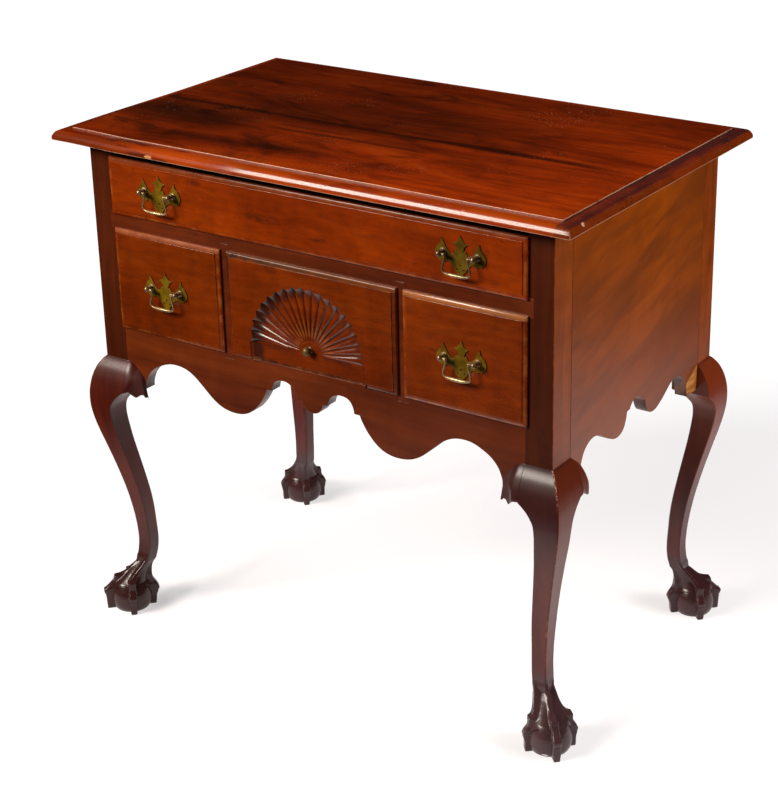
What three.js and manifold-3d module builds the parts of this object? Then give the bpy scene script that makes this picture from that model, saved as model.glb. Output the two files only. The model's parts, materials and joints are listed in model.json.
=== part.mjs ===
// Chippendale-style lowboy (dressing chest): a case with one long drawer over
// three short ones, a scrolled apron, and four cabriole legs on claw-and-ball
// feet. Millimetres, +Z up, +X to the viewer's right along the front, front
// facing -Y. Origin on the floor, under the middle of the top board.
import * as THREE from 'three';
import { mergeVertices } from 'three/addons/utils/BufferGeometryUtils.js';
import Module from 'manifold-3d';

const wasm = await Module();
wasm.setup();

// ---------------------------------------------------------------- dimensions
const GAP = 0.3;                 // glue line or joint between touching pieces

// top board
const TOP_Z = 762;               // height of the object (30 in)
const TOP_T = 19;                // board thickness
const TOP_X = 417.2;             // half width at the moulding's tip
const TOP_Y = 257.9;             // half depth at the moulding's tip
// edge moulding: inset from the tip, height above the underside
const TOP_EDGE = [[2.6, 0], [0.7, 2.2], [0, 4.6], [0.4, 8.2], [2.0, 12.2],
  [4.9, 15.4], [9.0, 17.0], [21.7, 17.9], [21.7, 19]];

// case
const CASE_X = 377.6;            // half width, outside of the posts
const CASE_Y0 = -224.3;          // front faces of the posts
const CASE_Y1 = 232.3;           // rear faces of the posts
const CASE_Z1 = TOP_Z - TOP_T - GAP;   // top of the case, under the board
const POST_X = 39.8;             // post width seen from the front
const FRONT_POST_Y = 45.3;       // front post depth seen from the side
const REAR_POST_Y = 40.0;        // rear post depth seen from the side
const BOARD_T = 19.3;            // thickness of the apron and side panels
const BACK_T = 12;               // thickness of the back board
const KNEE_Z = 419;              // where the knee meets the post

// openings in the front: the long drawer, then the lower row
const ROW1 = [647.3, 725.3];     // z of the long drawer's opening
const ROW0 = [474.5, 620.6];     // z of the lower openings
const DIV_L = [-152.2, -136.2];  // left divider, x
const DIV_R = [140.1, 156.1];    // right divider, x
const IN_X = CASE_X - POST_X;    // inner faces of the posts

// drawers
const LIP_OUT = 6.6;             // drawer face proud of the case front
const LIP_CLEAR = 0.4;           // air behind the lip
const FRONT_T = 22;              // drawer front thickness
const SIDE_CLEAR = 1.5;          // air beside each drawer
const RUN_CLEAR = 0.7;           // air under each drawer
const TOP_CLEAR = 1.5;           // air over each drawer front
const BOX_T = 11;                // drawer sides and back
const BOTTOM_T = 8;              // drawer bottoms
const BOX_Y1 = 205;              // rear ends of the drawer sides
const FACE_Y = CASE_Y0 - LIP_OUT;
const FRONT_IN = FACE_Y + FRONT_T;

// pulls
const POST_HALF = 25.7;          // half spacing of the two posts of a pull
const PLATE_T = 1.5;
const AXIS_OUT = 12;             // bail pivot axis, out from the drawer face
const HOLE_R = 2.7;              // holes for the post shanks
const SHANK_R = 2.2;
const PIN_R = 1.05;              // bail pins
const SOCKET_R = 1.55;           // sockets for the pins in the post heads

// ------------------------------------------------------------------- helpers
const solid = (geometry) => {
  const g = geometry.clone();
  g.deleteAttribute('normal');
  g.deleteAttribute('uv');
  const m = mergeVertices(g, 1e-4);
  return new wasm.Manifold(new wasm.Mesh({
    numProp: 3,
    vertProperties: new Float32Array(m.attributes.position.array),
    triVerts: new Uint32Array(m.index.array),
  }));
};

const geometryOf = (body) => {
  const m = body.getMesh();
  const g = new THREE.BufferGeometry();
  g.setAttribute('position', new THREE.BufferAttribute(new Float32Array(m.vertProperties), 3));
  g.setIndex(new THREE.BufferAttribute(new Uint32Array(m.triVerts), 1));
  g.computeVertexNormals();
  return g;
};

const shapeOf = (pts) => new THREE.Shape(pts.map(([a, b]) => new THREE.Vector2(a, b)));
const extrude = (pts, depth) => new THREE.ExtrudeGeometry(shapeOf(pts),
  { depth, steps: 1, bevelEnabled: false, curveSegments: 1 });

// outline in (x, z), running from y0 to y1
const alongY = (pts, y0, y1) => {
  const g = extrude(pts, y1 - y0);
  g.rotateX(Math.PI / 2);
  g.translate(0, y1, 0);
  return solid(g);
};
// outline in (y, z), running from x0 to x1
const alongX = (pts, x0, x1) => {
  const g = extrude(pts, x1 - x0);
  g.applyMatrix4(new THREE.Matrix4().makeBasis(
    new THREE.Vector3(0, 1, 0), new THREE.Vector3(0, 0, 1), new THREE.Vector3(1, 0, 0)));
  g.translate(x0, 0, 0);
  return solid(g);
};
// outline in (x, y), running from z0 to z1
const alongZ = (pts, z0, z1) => {
  const g = extrude(pts, z1 - z0);
  g.translate(0, 0, z0);
  return solid(g);
};
const box = (x0, x1, y0, y1, z0, z1) => {
  const g = new THREE.BoxGeometry(x1 - x0, y1 - y0, z1 - z0);
  g.translate((x0 + x1) / 2, (y0 + y1) / 2, (z0 + z1) / 2);
  return solid(g);
};
// a box given by two opposite x values in either order
const sbox = (xa, xb, y0, y1, z0, z1) =>
  box(Math.min(xa, xb), Math.max(xa, xb), y0, y1, z0, z1);
// round bar along y
const rodY = (x, z, r, y0, y1, n = 10) => {
  const g = new THREE.CylinderGeometry(r, r, y1 - y0, n, 1);
  g.translate(x, (y0 + y1) / 2, z);
  return solid(g);
};
// round bar along x
const rodX = (y, z, r, x0, x1, n = 8) => {
  const g = new THREE.CylinderGeometry(r, r, x1 - x0, n, 1);
  g.rotateZ(Math.PI / 2);
  g.translate((x0 + x1) / 2, y, z);
  return solid(g);
};

// ----------------------------------------------------------------- materials
const WOODS = {
  top: { color: 0x6b2410, roughness: 0.28 },
  front: { color: 0x8a3d14, roughness: 0.34 },
  side: { color: 0x8d4a20, roughness: 0.38 },
  leg: { color: 0x542318, roughness: 0.34 },
  inner: { color: 0xb08a58, roughness: 0.78 },
};
const finish = (name) => new THREE.MeshStandardMaterial(
  { ...WOODS[name], metalness: 0 });
const brass = () => new THREE.MeshStandardMaterial(
  { color: 0x9a7a32, roughness: 0.34, metalness: 1 });

const part = new THREE.Group();
const put = (name, body, material) => {
  const mesh = new THREE.Mesh(geometryOf(body), material);
  mesh.name = name;
  part.add(mesh);
};

// ----------------------------------------------------------------- top board
// Each edge carries the moulding, mitred round the corners: the section across
// x and the section across y are each run the whole way and meet in a mitre.
{
  const z0 = TOP_Z - TOP_T;
  const section = (half) => [
    ...TOP_EDGE.map(([inset, z]) => [half - inset, z0 + z]),
    ...TOP_EDGE.slice().reverse().map(([inset, z]) => [-(half - inset), z0 + z]),
  ];
  const across = alongY(section(TOP_X), -TOP_Y - 1, TOP_Y + 1);
  const along = alongX(section(TOP_Y), -TOP_X - 1, TOP_X + 1);
  put('top_board', across.intersect(along), finish('top'));
}

// ---------------------------------------------------------------------- legs
// Cabriole outline, as offset from the post's outer face (outward positive)
// and height. The same outline is sawn from the front and from the side.
const LEG_OUTER = [[0, 419], [5, 413], [11, 405], [15, 395], [18.6, 384],
  [21.2, 367], [21.8, 354], [21.2, 338], [18.2, 318], [13.9, 298], [9, 278],
  [4, 257], [-0.6, 237], [-5, 216], [-9, 195], [-12.2, 174], [-14.7, 154],
  [-16.4, 133], [-17, 112], [-15.3, 92], [-13, 82], [-12, 62], [-12, 30]];
const LEG_INNER = [[-29, 30], [-31, 58], [-34.8, 78], [-37.6, 98],
  [-39.2, 119], [-39.2, 139], [-38.3, 164], [-35.8, 191], [-31.4, 222],
  [-26.5, 253], [-21.7, 283], [-17.9, 313], [-16.6, 330], [-17.6, 344],
  [-22, 353], [-27, 360], [-34, 367], [-39.8, 371.5]];
const FOOT_IN = 5.5;             // foot centre, inward of the post corner
const FOOT_IN_REAR = 7.5;        // the same at the back, along y
const FOOT_FR = 3;               // the front right foot is carved a little further out
const BALL_R = 28.5;
const BALL_Z = 27;
// the toes as side outlines: distance from the foot's middle, height
const TOE_FRONT = [[-12, 72], [0, 66], [10, 58.8], [18, 55.8], [24.5, 54.3],
  [27.5, 46], [38, 35], [42.3, 31], [39.5, 19.5], [39, 2.5], [36, 0.5], [31, 1.5],
  [24, 12], [20, 30], [8, 46], [-12, 56]];
const TOE_BACK = [[33, 68], [32.4, 57], [32.8, 50], [34.4, 43.5],
  [40, 34], [42.5, 26.5], [38.3, 16], [35.6, 2.5], [32, 0.5], [28, 1.5], [24, 12],
  [20, 30], [20, 68]];
const TOE_SIDE = [[6, 72], [14, 63], [19.5, 57], [25, 53.2], [31, 50.8], [32, 40],
  [38.6, 28], [36, 15], [35, 2.5], [32, 0.5], [27, 1.5], [22, 14], [16, 34], [4, 50]];
const TOE_W = 9;

// sx, sy pick the corner; depth is the post's size along y
const leg = (sx, sy, depth) => {
  const yFace = sy < 0 ? CASE_Y0 : CASE_Y1;
  const outline = (width, face, s) => [
    [face, CASE_Z1],
    ...LEG_OUTER.map(([u, z]) => [face + s * u, z]),
    ...LEG_INNER.map(([u, z]) => [face + s * u, z]),
    ...(width > 40 ? [[face - s * width, 372]] : []),
    [face - s * width, CASE_Z1],
  ];
  const front = alongY(outline(POST_X, sx * CASE_X, sx), -300, 300);
  const side = alongX(outline(depth, yFace, sy), -450, 450);
  let body = front.intersect(side);
  const cx = sx * (CASE_X - FOOT_IN) + (sx > 0 && sy < 0 ? FOOT_FR : 0);
  const cy = yFace - sy * (sy < 0 ? FOOT_IN : FOOT_IN_REAR);
  body = body.intersect(box(sx > 0 ? 300 : -450, sx > 0 ? 450 : -300,
    sy > 0 ? 150 : -300, sy > 0 ? 300 : -150, 0, 800));
  // the ball, and the ankle spreading over it
  const ball = new THREE.SphereGeometry(BALL_R, 16, 12);
  ball.rotateX(Math.PI / 2);
  ball.translate(cx, cy, BALL_Z);
  body = body.add(solid(ball));
  const flare = [];
  for (const a of [-12.6, -34.2]) {
    for (const b of [-12.6, -34.2]) {
      flare.push([sx * (CASE_X + a), yFace + sy * b, 76]);
    }
  }
  for (let k = 0; k < 12; k += 1) {
    const c = Math.cos(Math.PI * k / 6);
    const d = Math.sin(Math.PI * k / 6);
    flare.push([cx + 24.5 * c, cy + 24.5 * d, 45], [cx + 28 * c, cy + 28 * d, 31]);
  }
  body = body.add(wasm.Manifold.hull(flare));
  // toes: outward, inward and one to each side of the diagonal
  const out = Math.atan2(sy, sx);
  [TOE_FRONT, TOE_SIDE, TOE_BACK, TOE_SIDE].forEach((toe, k) => {
    const g = extrude(toe, TOE_W);
    g.translate(0, 0, -TOE_W / 2);
    g.rotateX(Math.PI / 2);
    g.rotateZ(out + k * Math.PI / 2);
    g.translate(cx, cy, 0);
    body = body.add(solid(g));
  });
  // the underside, flat on the floor
  return body.intersect(box(cx - 90, cx + 90, cy - 90, cy + 90, 0, 800));
};


// tenon sizes, shared by the piece and by the post that takes it
const yBackOfFrontPost = CASE_Y0 + FRONT_POST_Y;
const yFrontOfRearPost = CASE_Y1 - REAR_POST_Y;
const PANEL_IN = CASE_X - BOARD_T;         // inner face of a side panel
const tenons = (s) => ({
  panelFront: [s * 363.5, s * 371, yBackOfFrontPost - 10, yBackOfFrontPost + GAP, 398, 716],
  panelRear: [s * 363.5, s * 371, yFrontOfRearPost - GAP, yFrontOfRearPost + 10, 398, 716],
  apron: [s * (IN_X - GAP), s * (IN_X + 10), -218.5, -210.5, 396, 462],
  back: [s * (IN_X - GAP), s * (IN_X + 8), 222.5, 227.5, 446, 730],
  rail: [s * (IN_X - GAP), s * 348, CASE_Y0, CASE_Y0 + BOARD_T, ROW0[1] + GAP, ROW1[0]],
  topRail: [s * (IN_X - GAP), s * 350, CASE_Y0 + 8, CASE_Y0 + 30, ROW1[1] + 5, CASE_Z1],
});
const tenon = (t) => box(Math.min(t[0], t[1]), Math.max(t[0], t[1]), t[2], t[3], t[4], t[5]);
const socket = (t, dy0 = GAP, dy1 = GAP, dz1 = GAP) =>
  box(Math.min(t[0], t[1]) - GAP, Math.max(t[0], t[1]) + GAP, t[2] - dy0, t[3] + dy1, t[4] - GAP, t[5] + dz1);

// knee block: carries the knee's swell on to the rail beside the leg. Its
// outline is drawn from the post corner: distance along the rail, height.
const BLOCK_TOP = [[40.1, 417.4], [43.7, 414.6], [51.2, 412.4], [62.7, 406],
  [69.6, 397.4], [72, 385], [74, 374]];
const BLOCK_LOW = [[76, 363], [73.5, 362.5], [70, 366.5], [65, 366], [60.5, 362],
  [58, 363.5], [51, 371.4], [40.1, 372]];
// swell of the knee in front of the case, with height (from LEG_OUTER)
const SWELL = [[0, 419], [5, 413], [11, 405], [15, 395], [18.6, 384],
  [21.2, 367], [21.8, 354]];
// how far the swell still stands out, along the rail
const PLAN_FRONT = [[0, 22], [45, 21], [52, 17], [59, 11.5], [66, 7.5], [71, 5.5], [80, 3.5]];
const PLAN_SIDE = [[0, 22], [55, 21], [64, 18.5], [71, 14], [80, 8.5]];
// the ears of the four blocks are not all sawn at the same height
const EAR = 56;                  // where the free ear of a block begins
const lowered = (dz) => BLOCK_LOW.map(([d, z]) => [d, d > 45 ? z + dz : z]);
// on the front: s is the side (-1 left, +1 right)
const frontBlock = (s, dz) => {
  const outline = [...BLOCK_TOP, ...lowered(dz)].map(([d, z]) => [s * (CASE_X - d), z]);
  const face = alongY(outline, CASE_Y0 - 40, CASE_Y0 + BOARD_T);
  const section = [
    ...SWELL.map(([o, z]) => [CASE_Y0 - o * 0.92 - GAP, z]),
    [CASE_Y0 + BOARD_T, 354], [CASE_Y0 + BOARD_T, 379.6],
    [CASE_Y0 - GAP, 379.6]];
  const plan = [...PLAN_FRONT.map(([d, o]) => [s * (CASE_X - d), CASE_Y0 - o]),
    [s * (CASE_X - 80), CASE_Y0 + 40], [s * CASE_X, CASE_Y0 + 40]];
  // the ear stands in front of the apron only
  return face.intersect(alongX(section, s > 0 ? 250 : -377, s > 0 ? 377 : -250))
    .intersect(alongZ(plan, 300, 500))
    .subtract(sbox(s * (CASE_X - EAR), s * 200, CASE_Y0 - GAP, CASE_Y0 + 60, 300, 500));
};
// on a side: sy is the end (-1 front, +1 rear), width is the post's depth
const sideBlock = (sx, sy, width) => {
  const yFace = sy < 0 ? CASE_Y0 : CASE_Y1;
  const top = BLOCK_TOP.filter(([d]) => d > width + GAP);
  const first = [width + GAP, 416];
  const outline = [first, ...top, ...lowered(3).slice(0, -1),
    [width + GAP, 372]].map(([d, z]) => [yFace - sy * d, z]);
  const face = alongX(outline, sx > 0 ? PANEL_IN : -CASE_X - 40, sx > 0 ? CASE_X + 40 : -PANEL_IN);
  const section = [
    ...SWELL.map(([o, z]) => [sx * (CASE_X + o * 0.92 + GAP), z]),
    [sx * PANEL_IN, 354], [sx * PANEL_IN, 379.6],
    [sx * (CASE_X + GAP), 379.6]];
  const plan = [...PLAN_SIDE.map(([d, o]) => [sx * (CASE_X + o), yFace - sy * d]),
    [sx * (CASE_X - 40), yFace - sy * 80], [sx * (CASE_X - 40), yFace]];
  const yEar = yFace - sy * EAR;
  return face.intersect(alongY(section, -300, 300)).intersect(alongZ(plan, 300, 500))
    .subtract(sbox(sx * (CASE_X + GAP), sx * 300, Math.min(yEar, 0), Math.max(yEar, 0), 300, 500));
};

for (const [sx, sName] of [[-1, 'left'], [1, 'right']]) {
  const t = tenons(sx);
  // front leg and post, with sockets for everything housed in it
  let front = leg(sx, -1, FRONT_POST_Y);
  front = front.subtract(socket(t.panelFront))
    .subtract(socket(t.apron))
    .subtract(socket(t.rail, 1, GAP, GAP))
    .subtract(socket(t.topRail, GAP, GAP, 2));
  put(`front_${sName}_leg`, front, finish('leg'));
  // rear leg and post
  let rear = leg(sx, 1, REAR_POST_Y);
  rear = rear.subtract(socket(t.panelRear)).subtract(socket(t.back));
  if (sx < 0) {
    // the left one still has its knee block glued on; the right one lost it
    rear = rear.add(sideBlock(sx, 1, REAR_POST_Y - 2.5));
  }
  put(`rear_${sName}_leg`, rear, finish('leg'));
}

// --------------------------------------------------------------- side panels
// Scrolled lower edge, drawn from the middle of the panel outwards.
const SIDE_MID = (CASE_Y0 + CASE_Y1) / 2;
const SIDE_SCROLL = [[0, 437.8], [4.5, 437.2], [8.5, 435.6], [12.5, 432.8],
  [16, 429.3], [18, 426.2], [25.8, 425.4], [27, 420.5], [29, 414], [32.5, 407],
  [37, 402], [43, 398.8], [50, 397.3], [57, 397.5], [64, 399.2], [72, 402.6],
  [81, 407], [90, 412.4], [99, 418], [108, 421.8], [118, 423.8], [126, 423.2],
  [134, 420.6], [141, 416.4], [146.5, 410.6], [150.5, 403.5], [154, 394.5],
  [156, 386], [156.8, 380]];
for (const [sx, sName] of [[-1, 'left'], [1, 'right']]) {
  const t = tenons(sx);
  const y0 = yBackOfFrontPost + GAP;
  const y1 = yFrontOfRearPost - GAP;
  const scroll = [
    ...SIDE_SCROLL.slice().reverse().map(([v, z]) => [SIDE_MID - v, z]),
    ...SIDE_SCROLL.slice(1).map(([v, z]) => [SIDE_MID + v, z])];
  const outline = [[y0, CASE_Z1], [y0, 380], ...scroll, [y1, 380], [y1, CASE_Z1]];
  const body = alongX(outline, sx > 0 ? PANEL_IN : -CASE_X, sx > 0 ? CASE_X : -PANEL_IN)
    .add(tenon(t.panelFront)).add(tenon(t.panelRear));
  put(`${sName}_side_panel`, body, finish('side'));
}

// ---------------------------------------------------------------- back board
{
  const body = box(-IN_X + GAP, IN_X - GAP, CASE_Y1 - 1.3 - BACK_T, CASE_Y1 - 1.3, 430, CASE_Z1)
    .add(tenon(tenons(-1).back)).add(tenon(tenons(1).back));
  put('back_panel', body, finish('inner'));
}

// --------------------------------------------------------------------- apron
// Scrolled lower edge, from left to right: wide arch beside the leg, deep round
// lobe, small arch, centre drop with cusps, and the same again. Sawn by hand,
// the two halves differ by a few millimetres.
const APRON_SCROLL = [[-305.6, 380], [-305.2, 386.4], [-303.2, 393.6], [-299.3, 402.3],
  [-292.8, 410.6], [-284.4, 417.3], [-275, 422.4], [-265.4, 426.6], [-255, 429.5],
  [-243.4, 430.3], [-231, 428.9], [-220, 425], [-210, 418.8], [-201, 411.4],
  [-190.6, 402.2], [-180.2, 393.2], [-170.3, 386.7], [-160.6, 382.6], [-151, 380.4],
  [-141.5, 379.6], [-132, 380.2], [-122.5, 382.4], [-113, 387], [-104, 394.2],
  [-96, 403.2], [-89.5, 412.6], [-84.2, 422.2], [-81.4, 429.1], [-72.4, 429.2],
  [-71.2, 435.2], [-68.4, 441.3], [-63, 446.2], [-55.8, 448], [-47.5, 448],
  [-40.5, 445.3], [-35.4, 441.4], [-31.6, 436.5], [-29.2, 430.5], [-28, 425.5],
  [-19.6, 425.2], [-18, 419.6], [-14.5, 415.6], [-10, 412.9], [-5, 411.6],
  [-0.5, 411.4], [3.6, 412.4], [7.4, 414.4], [10.8, 417.6], [13.4, 422.3],
  [14.8, 428], [23.2, 428.3], [24.6, 433.1], [27.2, 438.8], [31.4, 443.3],
  [37, 446.6], [44.5, 448.3], [53.5, 447.5], [59.5, 444.6], [64, 439],
  [66.5, 432.5], [67.6, 426.4], [76.6, 426.3], [79.5, 419.5], [85, 410],
  [92, 400.6], [100.5, 391.6], [110, 384.6], [120, 380.2], [130, 378.1],
  [140, 377.7], [150, 378.7], [160, 381.2], [170, 385.8], [180, 392.6],
  [190.5, 401.8], [201, 411.2], [210, 418.8], [220, 425], [231, 428.9],
  [243, 430.3], [254, 429.5], [264, 426.6], [273, 422.4], [282, 417.3],
  [290, 410.6], [296.5, 402.3], [300.4, 393.6], [302.4, 386.4], [302.8, 380]];
{
  const outline = [[-IN_X + GAP, ROW0[0]], [-IN_X + GAP, 380], ...APRON_SCROLL,
    [IN_X - GAP, 380], [IN_X - GAP, ROW0[0]]];
  let body = alongY(outline, CASE_Y0, CASE_Y0 + BOARD_T)
    .add(tenon(tenons(-1).apron)).add(tenon(tenons(1).apron));
  // housings for the feet of the two dividers
  for (const [a, b] of [DIV_L, DIV_R]) {
    body = body.subtract(box(a - GAP, b + GAP, CASE_Y0 - 1, CASE_Y0 + BOARD_T + 1, 462.7, 480));
  }
  put('front_apron', body, finish('front'));
}

// ---------------------------------------------------- rails and dividers
const RAIL_Y1 = CASE_Y0 + 45;
{
  // rail under the long drawer, its ends lapped into the posts
  let body = box(-IN_X + GAP, IN_X - GAP, CASE_Y0, RAIL_Y1, ROW0[1], ROW1[0])
    .add(tenon(tenons(-1).rail)).add(tenon(tenons(1).rail));
  for (const [a, b] of [DIV_L, DIV_R]) {
    body = body.subtract(box(a - GAP, b + GAP, CASE_Y0 - 1, CASE_Y0 + BOARD_T + GAP, 610, 632.3));
  }
  put('drawer_rail', body, finish('front'));
  // rail over the long drawer, dovetailed into the post tops
  body = box(-IN_X + GAP, IN_X - GAP, CASE_Y0, RAIL_Y1, ROW1[1], CASE_Z1)
    .add(tenon(tenons(-1).topRail)).add(tenon(tenons(1).topRail));
  put('top_rail', body, finish('front'));
  put('left_divider', box(DIV_L[0], DIV_L[1], CASE_Y0, CASE_Y0 + BOARD_T, 463, 632), finish('front'));
  put('right_divider', box(DIV_R[0], DIV_R[1], CASE_Y0, CASE_Y0 + BOARD_T, 463, 632), finish('front'));
}

// --------------------------------------------------------------- knee blocks
put('left_leg_front_knee_block', frontBlock(-1, 5), finish('leg'));
put('right_leg_front_knee_block', frontBlock(1, -2), finish('leg'));
put('left_leg_side_knee_block', sideBlock(-1, -1, FRONT_POST_Y), finish('leg'));
put('right_leg_side_knee_block', sideBlock(1, -1, FRONT_POST_Y), finish('leg'));

// ------------------------------------------------------------------- runners
// An outer runner is an L: the ledge that the drawer slides on, and the guide
// that fills the space between the drawer's side and the panel.
const LEDGE_X = 310;
const outerRunner = (s, z) => alongY([
  [s * LEDGE_X, z - 19.5], [s * (PANEL_IN - GAP), z - 19.5], [s * (PANEL_IN - GAP), z + 17.5],
  [s * (IN_X + 0.2), z + 17.5], [s * (IN_X + 0.2), z], [s * LEDGE_X, z]],
yBackOfFrontPost + GAP, yFrontOfRearPost - GAP);
// an inner runner is a T: a ledge for the drawer on each side of the guide
const innerRunner = ([a, b], z) => alongY([
  [a - 20, z - 19.5], [b + 20, z - 19.5], [b + 20, z], [b, z], [b, z + 17.5],
  [a, z + 17.5], [a, z], [a - 20, z]],
CASE_Y0 + BOARD_T + GAP, CASE_Y1 - 1.3 - BACK_T - GAP);
put('upper_left_runner', outerRunner(-1, ROW1[0]), finish('inner'));
put('upper_right_runner', outerRunner(1, ROW1[0]), finish('inner'));
put('lower_left_runner', outerRunner(-1, ROW0[0]), finish('inner'));
put('lower_right_runner', outerRunner(1, ROW0[0]), finish('inner'));
put('lower_left_middle_runner', innerRunner(DIV_L, ROW0[0]), finish('inner'));
put('lower_right_middle_runner', innerRunner(DIV_R, ROW0[0]), finish('inner'));

// ------------------------------------------------------------------- drawers
// Face moulding: inset from the lip's edge, distance out from the case front.
const LIP_EDGE = [[0, LIP_CLEAR], [0, 2.6], [1.6, 4.6], [4.6, 5.7], [6.4, 5.9], [6.4, LIP_OUT]];
const FAN_X = -2;                // middle of the carved fan
const FAN_Z = 500;
const FAN_R = 94;                // its rim
const FAN_DEEP = 8;              // depth of the fan's ground
const BOSS_R = 19.5;
const drawers = {
  long: { lip: [-341, 341.6, 644.3, 728.3], open: [-IN_X, IN_X, ...ROW1],
    pulls: [['left', -248, 689.4], ['right', 245.6, 690]] },
  left: { lip: [-339.3, -149.8, 471.5, 623.6], open: [-IN_X, DIV_L[0], ...ROW0],
    pulls: [['', -247, 547.3]] },
  centre: { lip: [-138.6, 143.2, 471.5, 623.6], open: [DIV_L[1], DIV_R[0], ...ROW0],
    pulls: [] },
  right: { lip: [153, 341.6, 471.5, 623.6], open: [DIV_R[1], IN_X, ...ROW0],
    pulls: [['', 245.6, 548]] },
};

for (const [name, d] of Object.entries(drawers)) {
  const [lx0, lx1, lz0, lz1] = d.lip;
  const [ox0, ox1, oz0, oz1] = d.open;
  const x0 = ox0 + SIDE_CLEAR;
  const x1 = ox1 - SIDE_CLEAR;
  const z0 = oz0 + RUN_CLEAR;
  const z1 = oz1 - TOP_CLEAR;
  // front: thumbnail-moulded lip and the part that enters the opening
  const rim = (a, b) => [
    ...LIP_EDGE.map(([inset, out]) => [b - inset, CASE_Y0 - out]),
    ...LIP_EDGE.slice().reverse().map(([inset, out]) => [a + inset, CASE_Y0 - out])];
  const lip = alongZ(rim(lx0, lx1), lz0, lz1)
    .intersect(alongX(rim(lz0, lz1).map(([z, y]) => [y, z]), lx0 - 1, lx1 + 1));
  let front = lip.add(box(x0, x1, CASE_Y0 - LIP_CLEAR - 1, FRONT_IN, z0, z1));
  if (name === 'centre') {
    const pts = [];
    const n = 20;
    for (let k = 0; k <= n; k += 1) {
      const a = Math.PI * k / n;
      pts.push([FAN_X + FAN_R * Math.cos(a), FAN_Z + FAN_R * Math.sin(a)]);
    }
    pts.push([FAN_X - FAN_R, 460], [FAN_X + FAN_R, 460]);
    front = front.subtract(alongY(pts, FACE_Y - 5, FACE_Y + FAN_DEEP));
    const boss = [];
    for (let k = 0; k <= 12; k += 1) {
      const a = Math.PI * k / 12;
      boss.push([FAN_X + BOSS_R * Math.cos(a), FAN_Z + BOSS_R * Math.sin(a)]);
    }
    front = front.add(alongY(boss, FACE_Y + FAN_DEEP - 2, FACE_Y + FAN_DEEP + 1));
    front = front.subtract(rodY(FAN_X, FAN_Z + 6, HOLE_R, FACE_Y - 5, FRONT_IN + 5));
  }
  for (const [, px, pz] of d.pulls) {
    for (const s of [-1, 1]) {
      front = front.subtract(rodY(px + s * POST_HALF, pz, HOLE_R, FACE_Y - 5, FRONT_IN + 5));
    }
  }
  put(`${name}_drawer_front`, front, finish('front'));
  // the box behind it
  const y0 = FRONT_IN + GAP;
  put(`${name}_drawer_left_side`, box(x0, x0 + BOX_T, y0, BOX_Y1, z0, oz1 - 6), finish('inner'));
  put(`${name}_drawer_right_side`, box(x1 - BOX_T, x1, y0, BOX_Y1, z0, oz1 - 6), finish('inner'));
  put(`${name}_drawer_back`, box(x0 + BOX_T + GAP, x1 - BOX_T - GAP, BOX_Y1 - BOX_T, BOX_Y1,
    z0 + 6 + BOTTOM_T + GAP, oz1 - 9), finish('inner'));
  put(`${name}_drawer_bottom`, box(x0 + BOX_T + GAP, x1 - BOX_T - GAP, y0, BOX_Y1 - 1,
    z0 + 6, z0 + 6 + BOTTOM_T), finish('inner'));
}

// --------------------------------------------------------------------- pulls
// Back plate, right half, from the tip of the finial round to the pendant:
// distance from the middle, height from the line of the posts.
const PLATE = [[0, 25], [2.6, 19.5], [6.4, 15.2], [11, 13.5], [6.6, 10],
  [4.2, 3], [7.6, 4.8], [10.5, -1.4], [14.5, -1.8], [20, 3.4], [24, 10.4],
  [28, 17.5], [29.8, 10.6], [34.4, 6.2], [38, -1.5], [36.8, -7.4], [31.5, -12.8],
  [26.5, -13.2], [24.4, -15], [21.5, -12.2], [15.6, -13.6], [10.4, -18.6],
  [8, -23], [5.2, -25.4], [4.4, -28.4]];
const PLATE_OUTLINE = [...PLATE, [0, -31], ...PLATE.slice(1).reverse().map(([u, w]) => [-u, w])];
// Post: distance out from the drawer face, radius
const POST = [[-26.3, 0], [-26.3, 4.6], [-22.3, 4.6], [-22.3, SHANK_R], [2.1, SHANK_R],
  [2.1, 5], [3.2, 5], [4.4, 3], [6.2, 4.1], [8.2, 2.9], [9.6, 3.9], [12, 4.6],
  [14.4, 3.9], [16.2, 1.8], [16.6, 0]];
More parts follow.
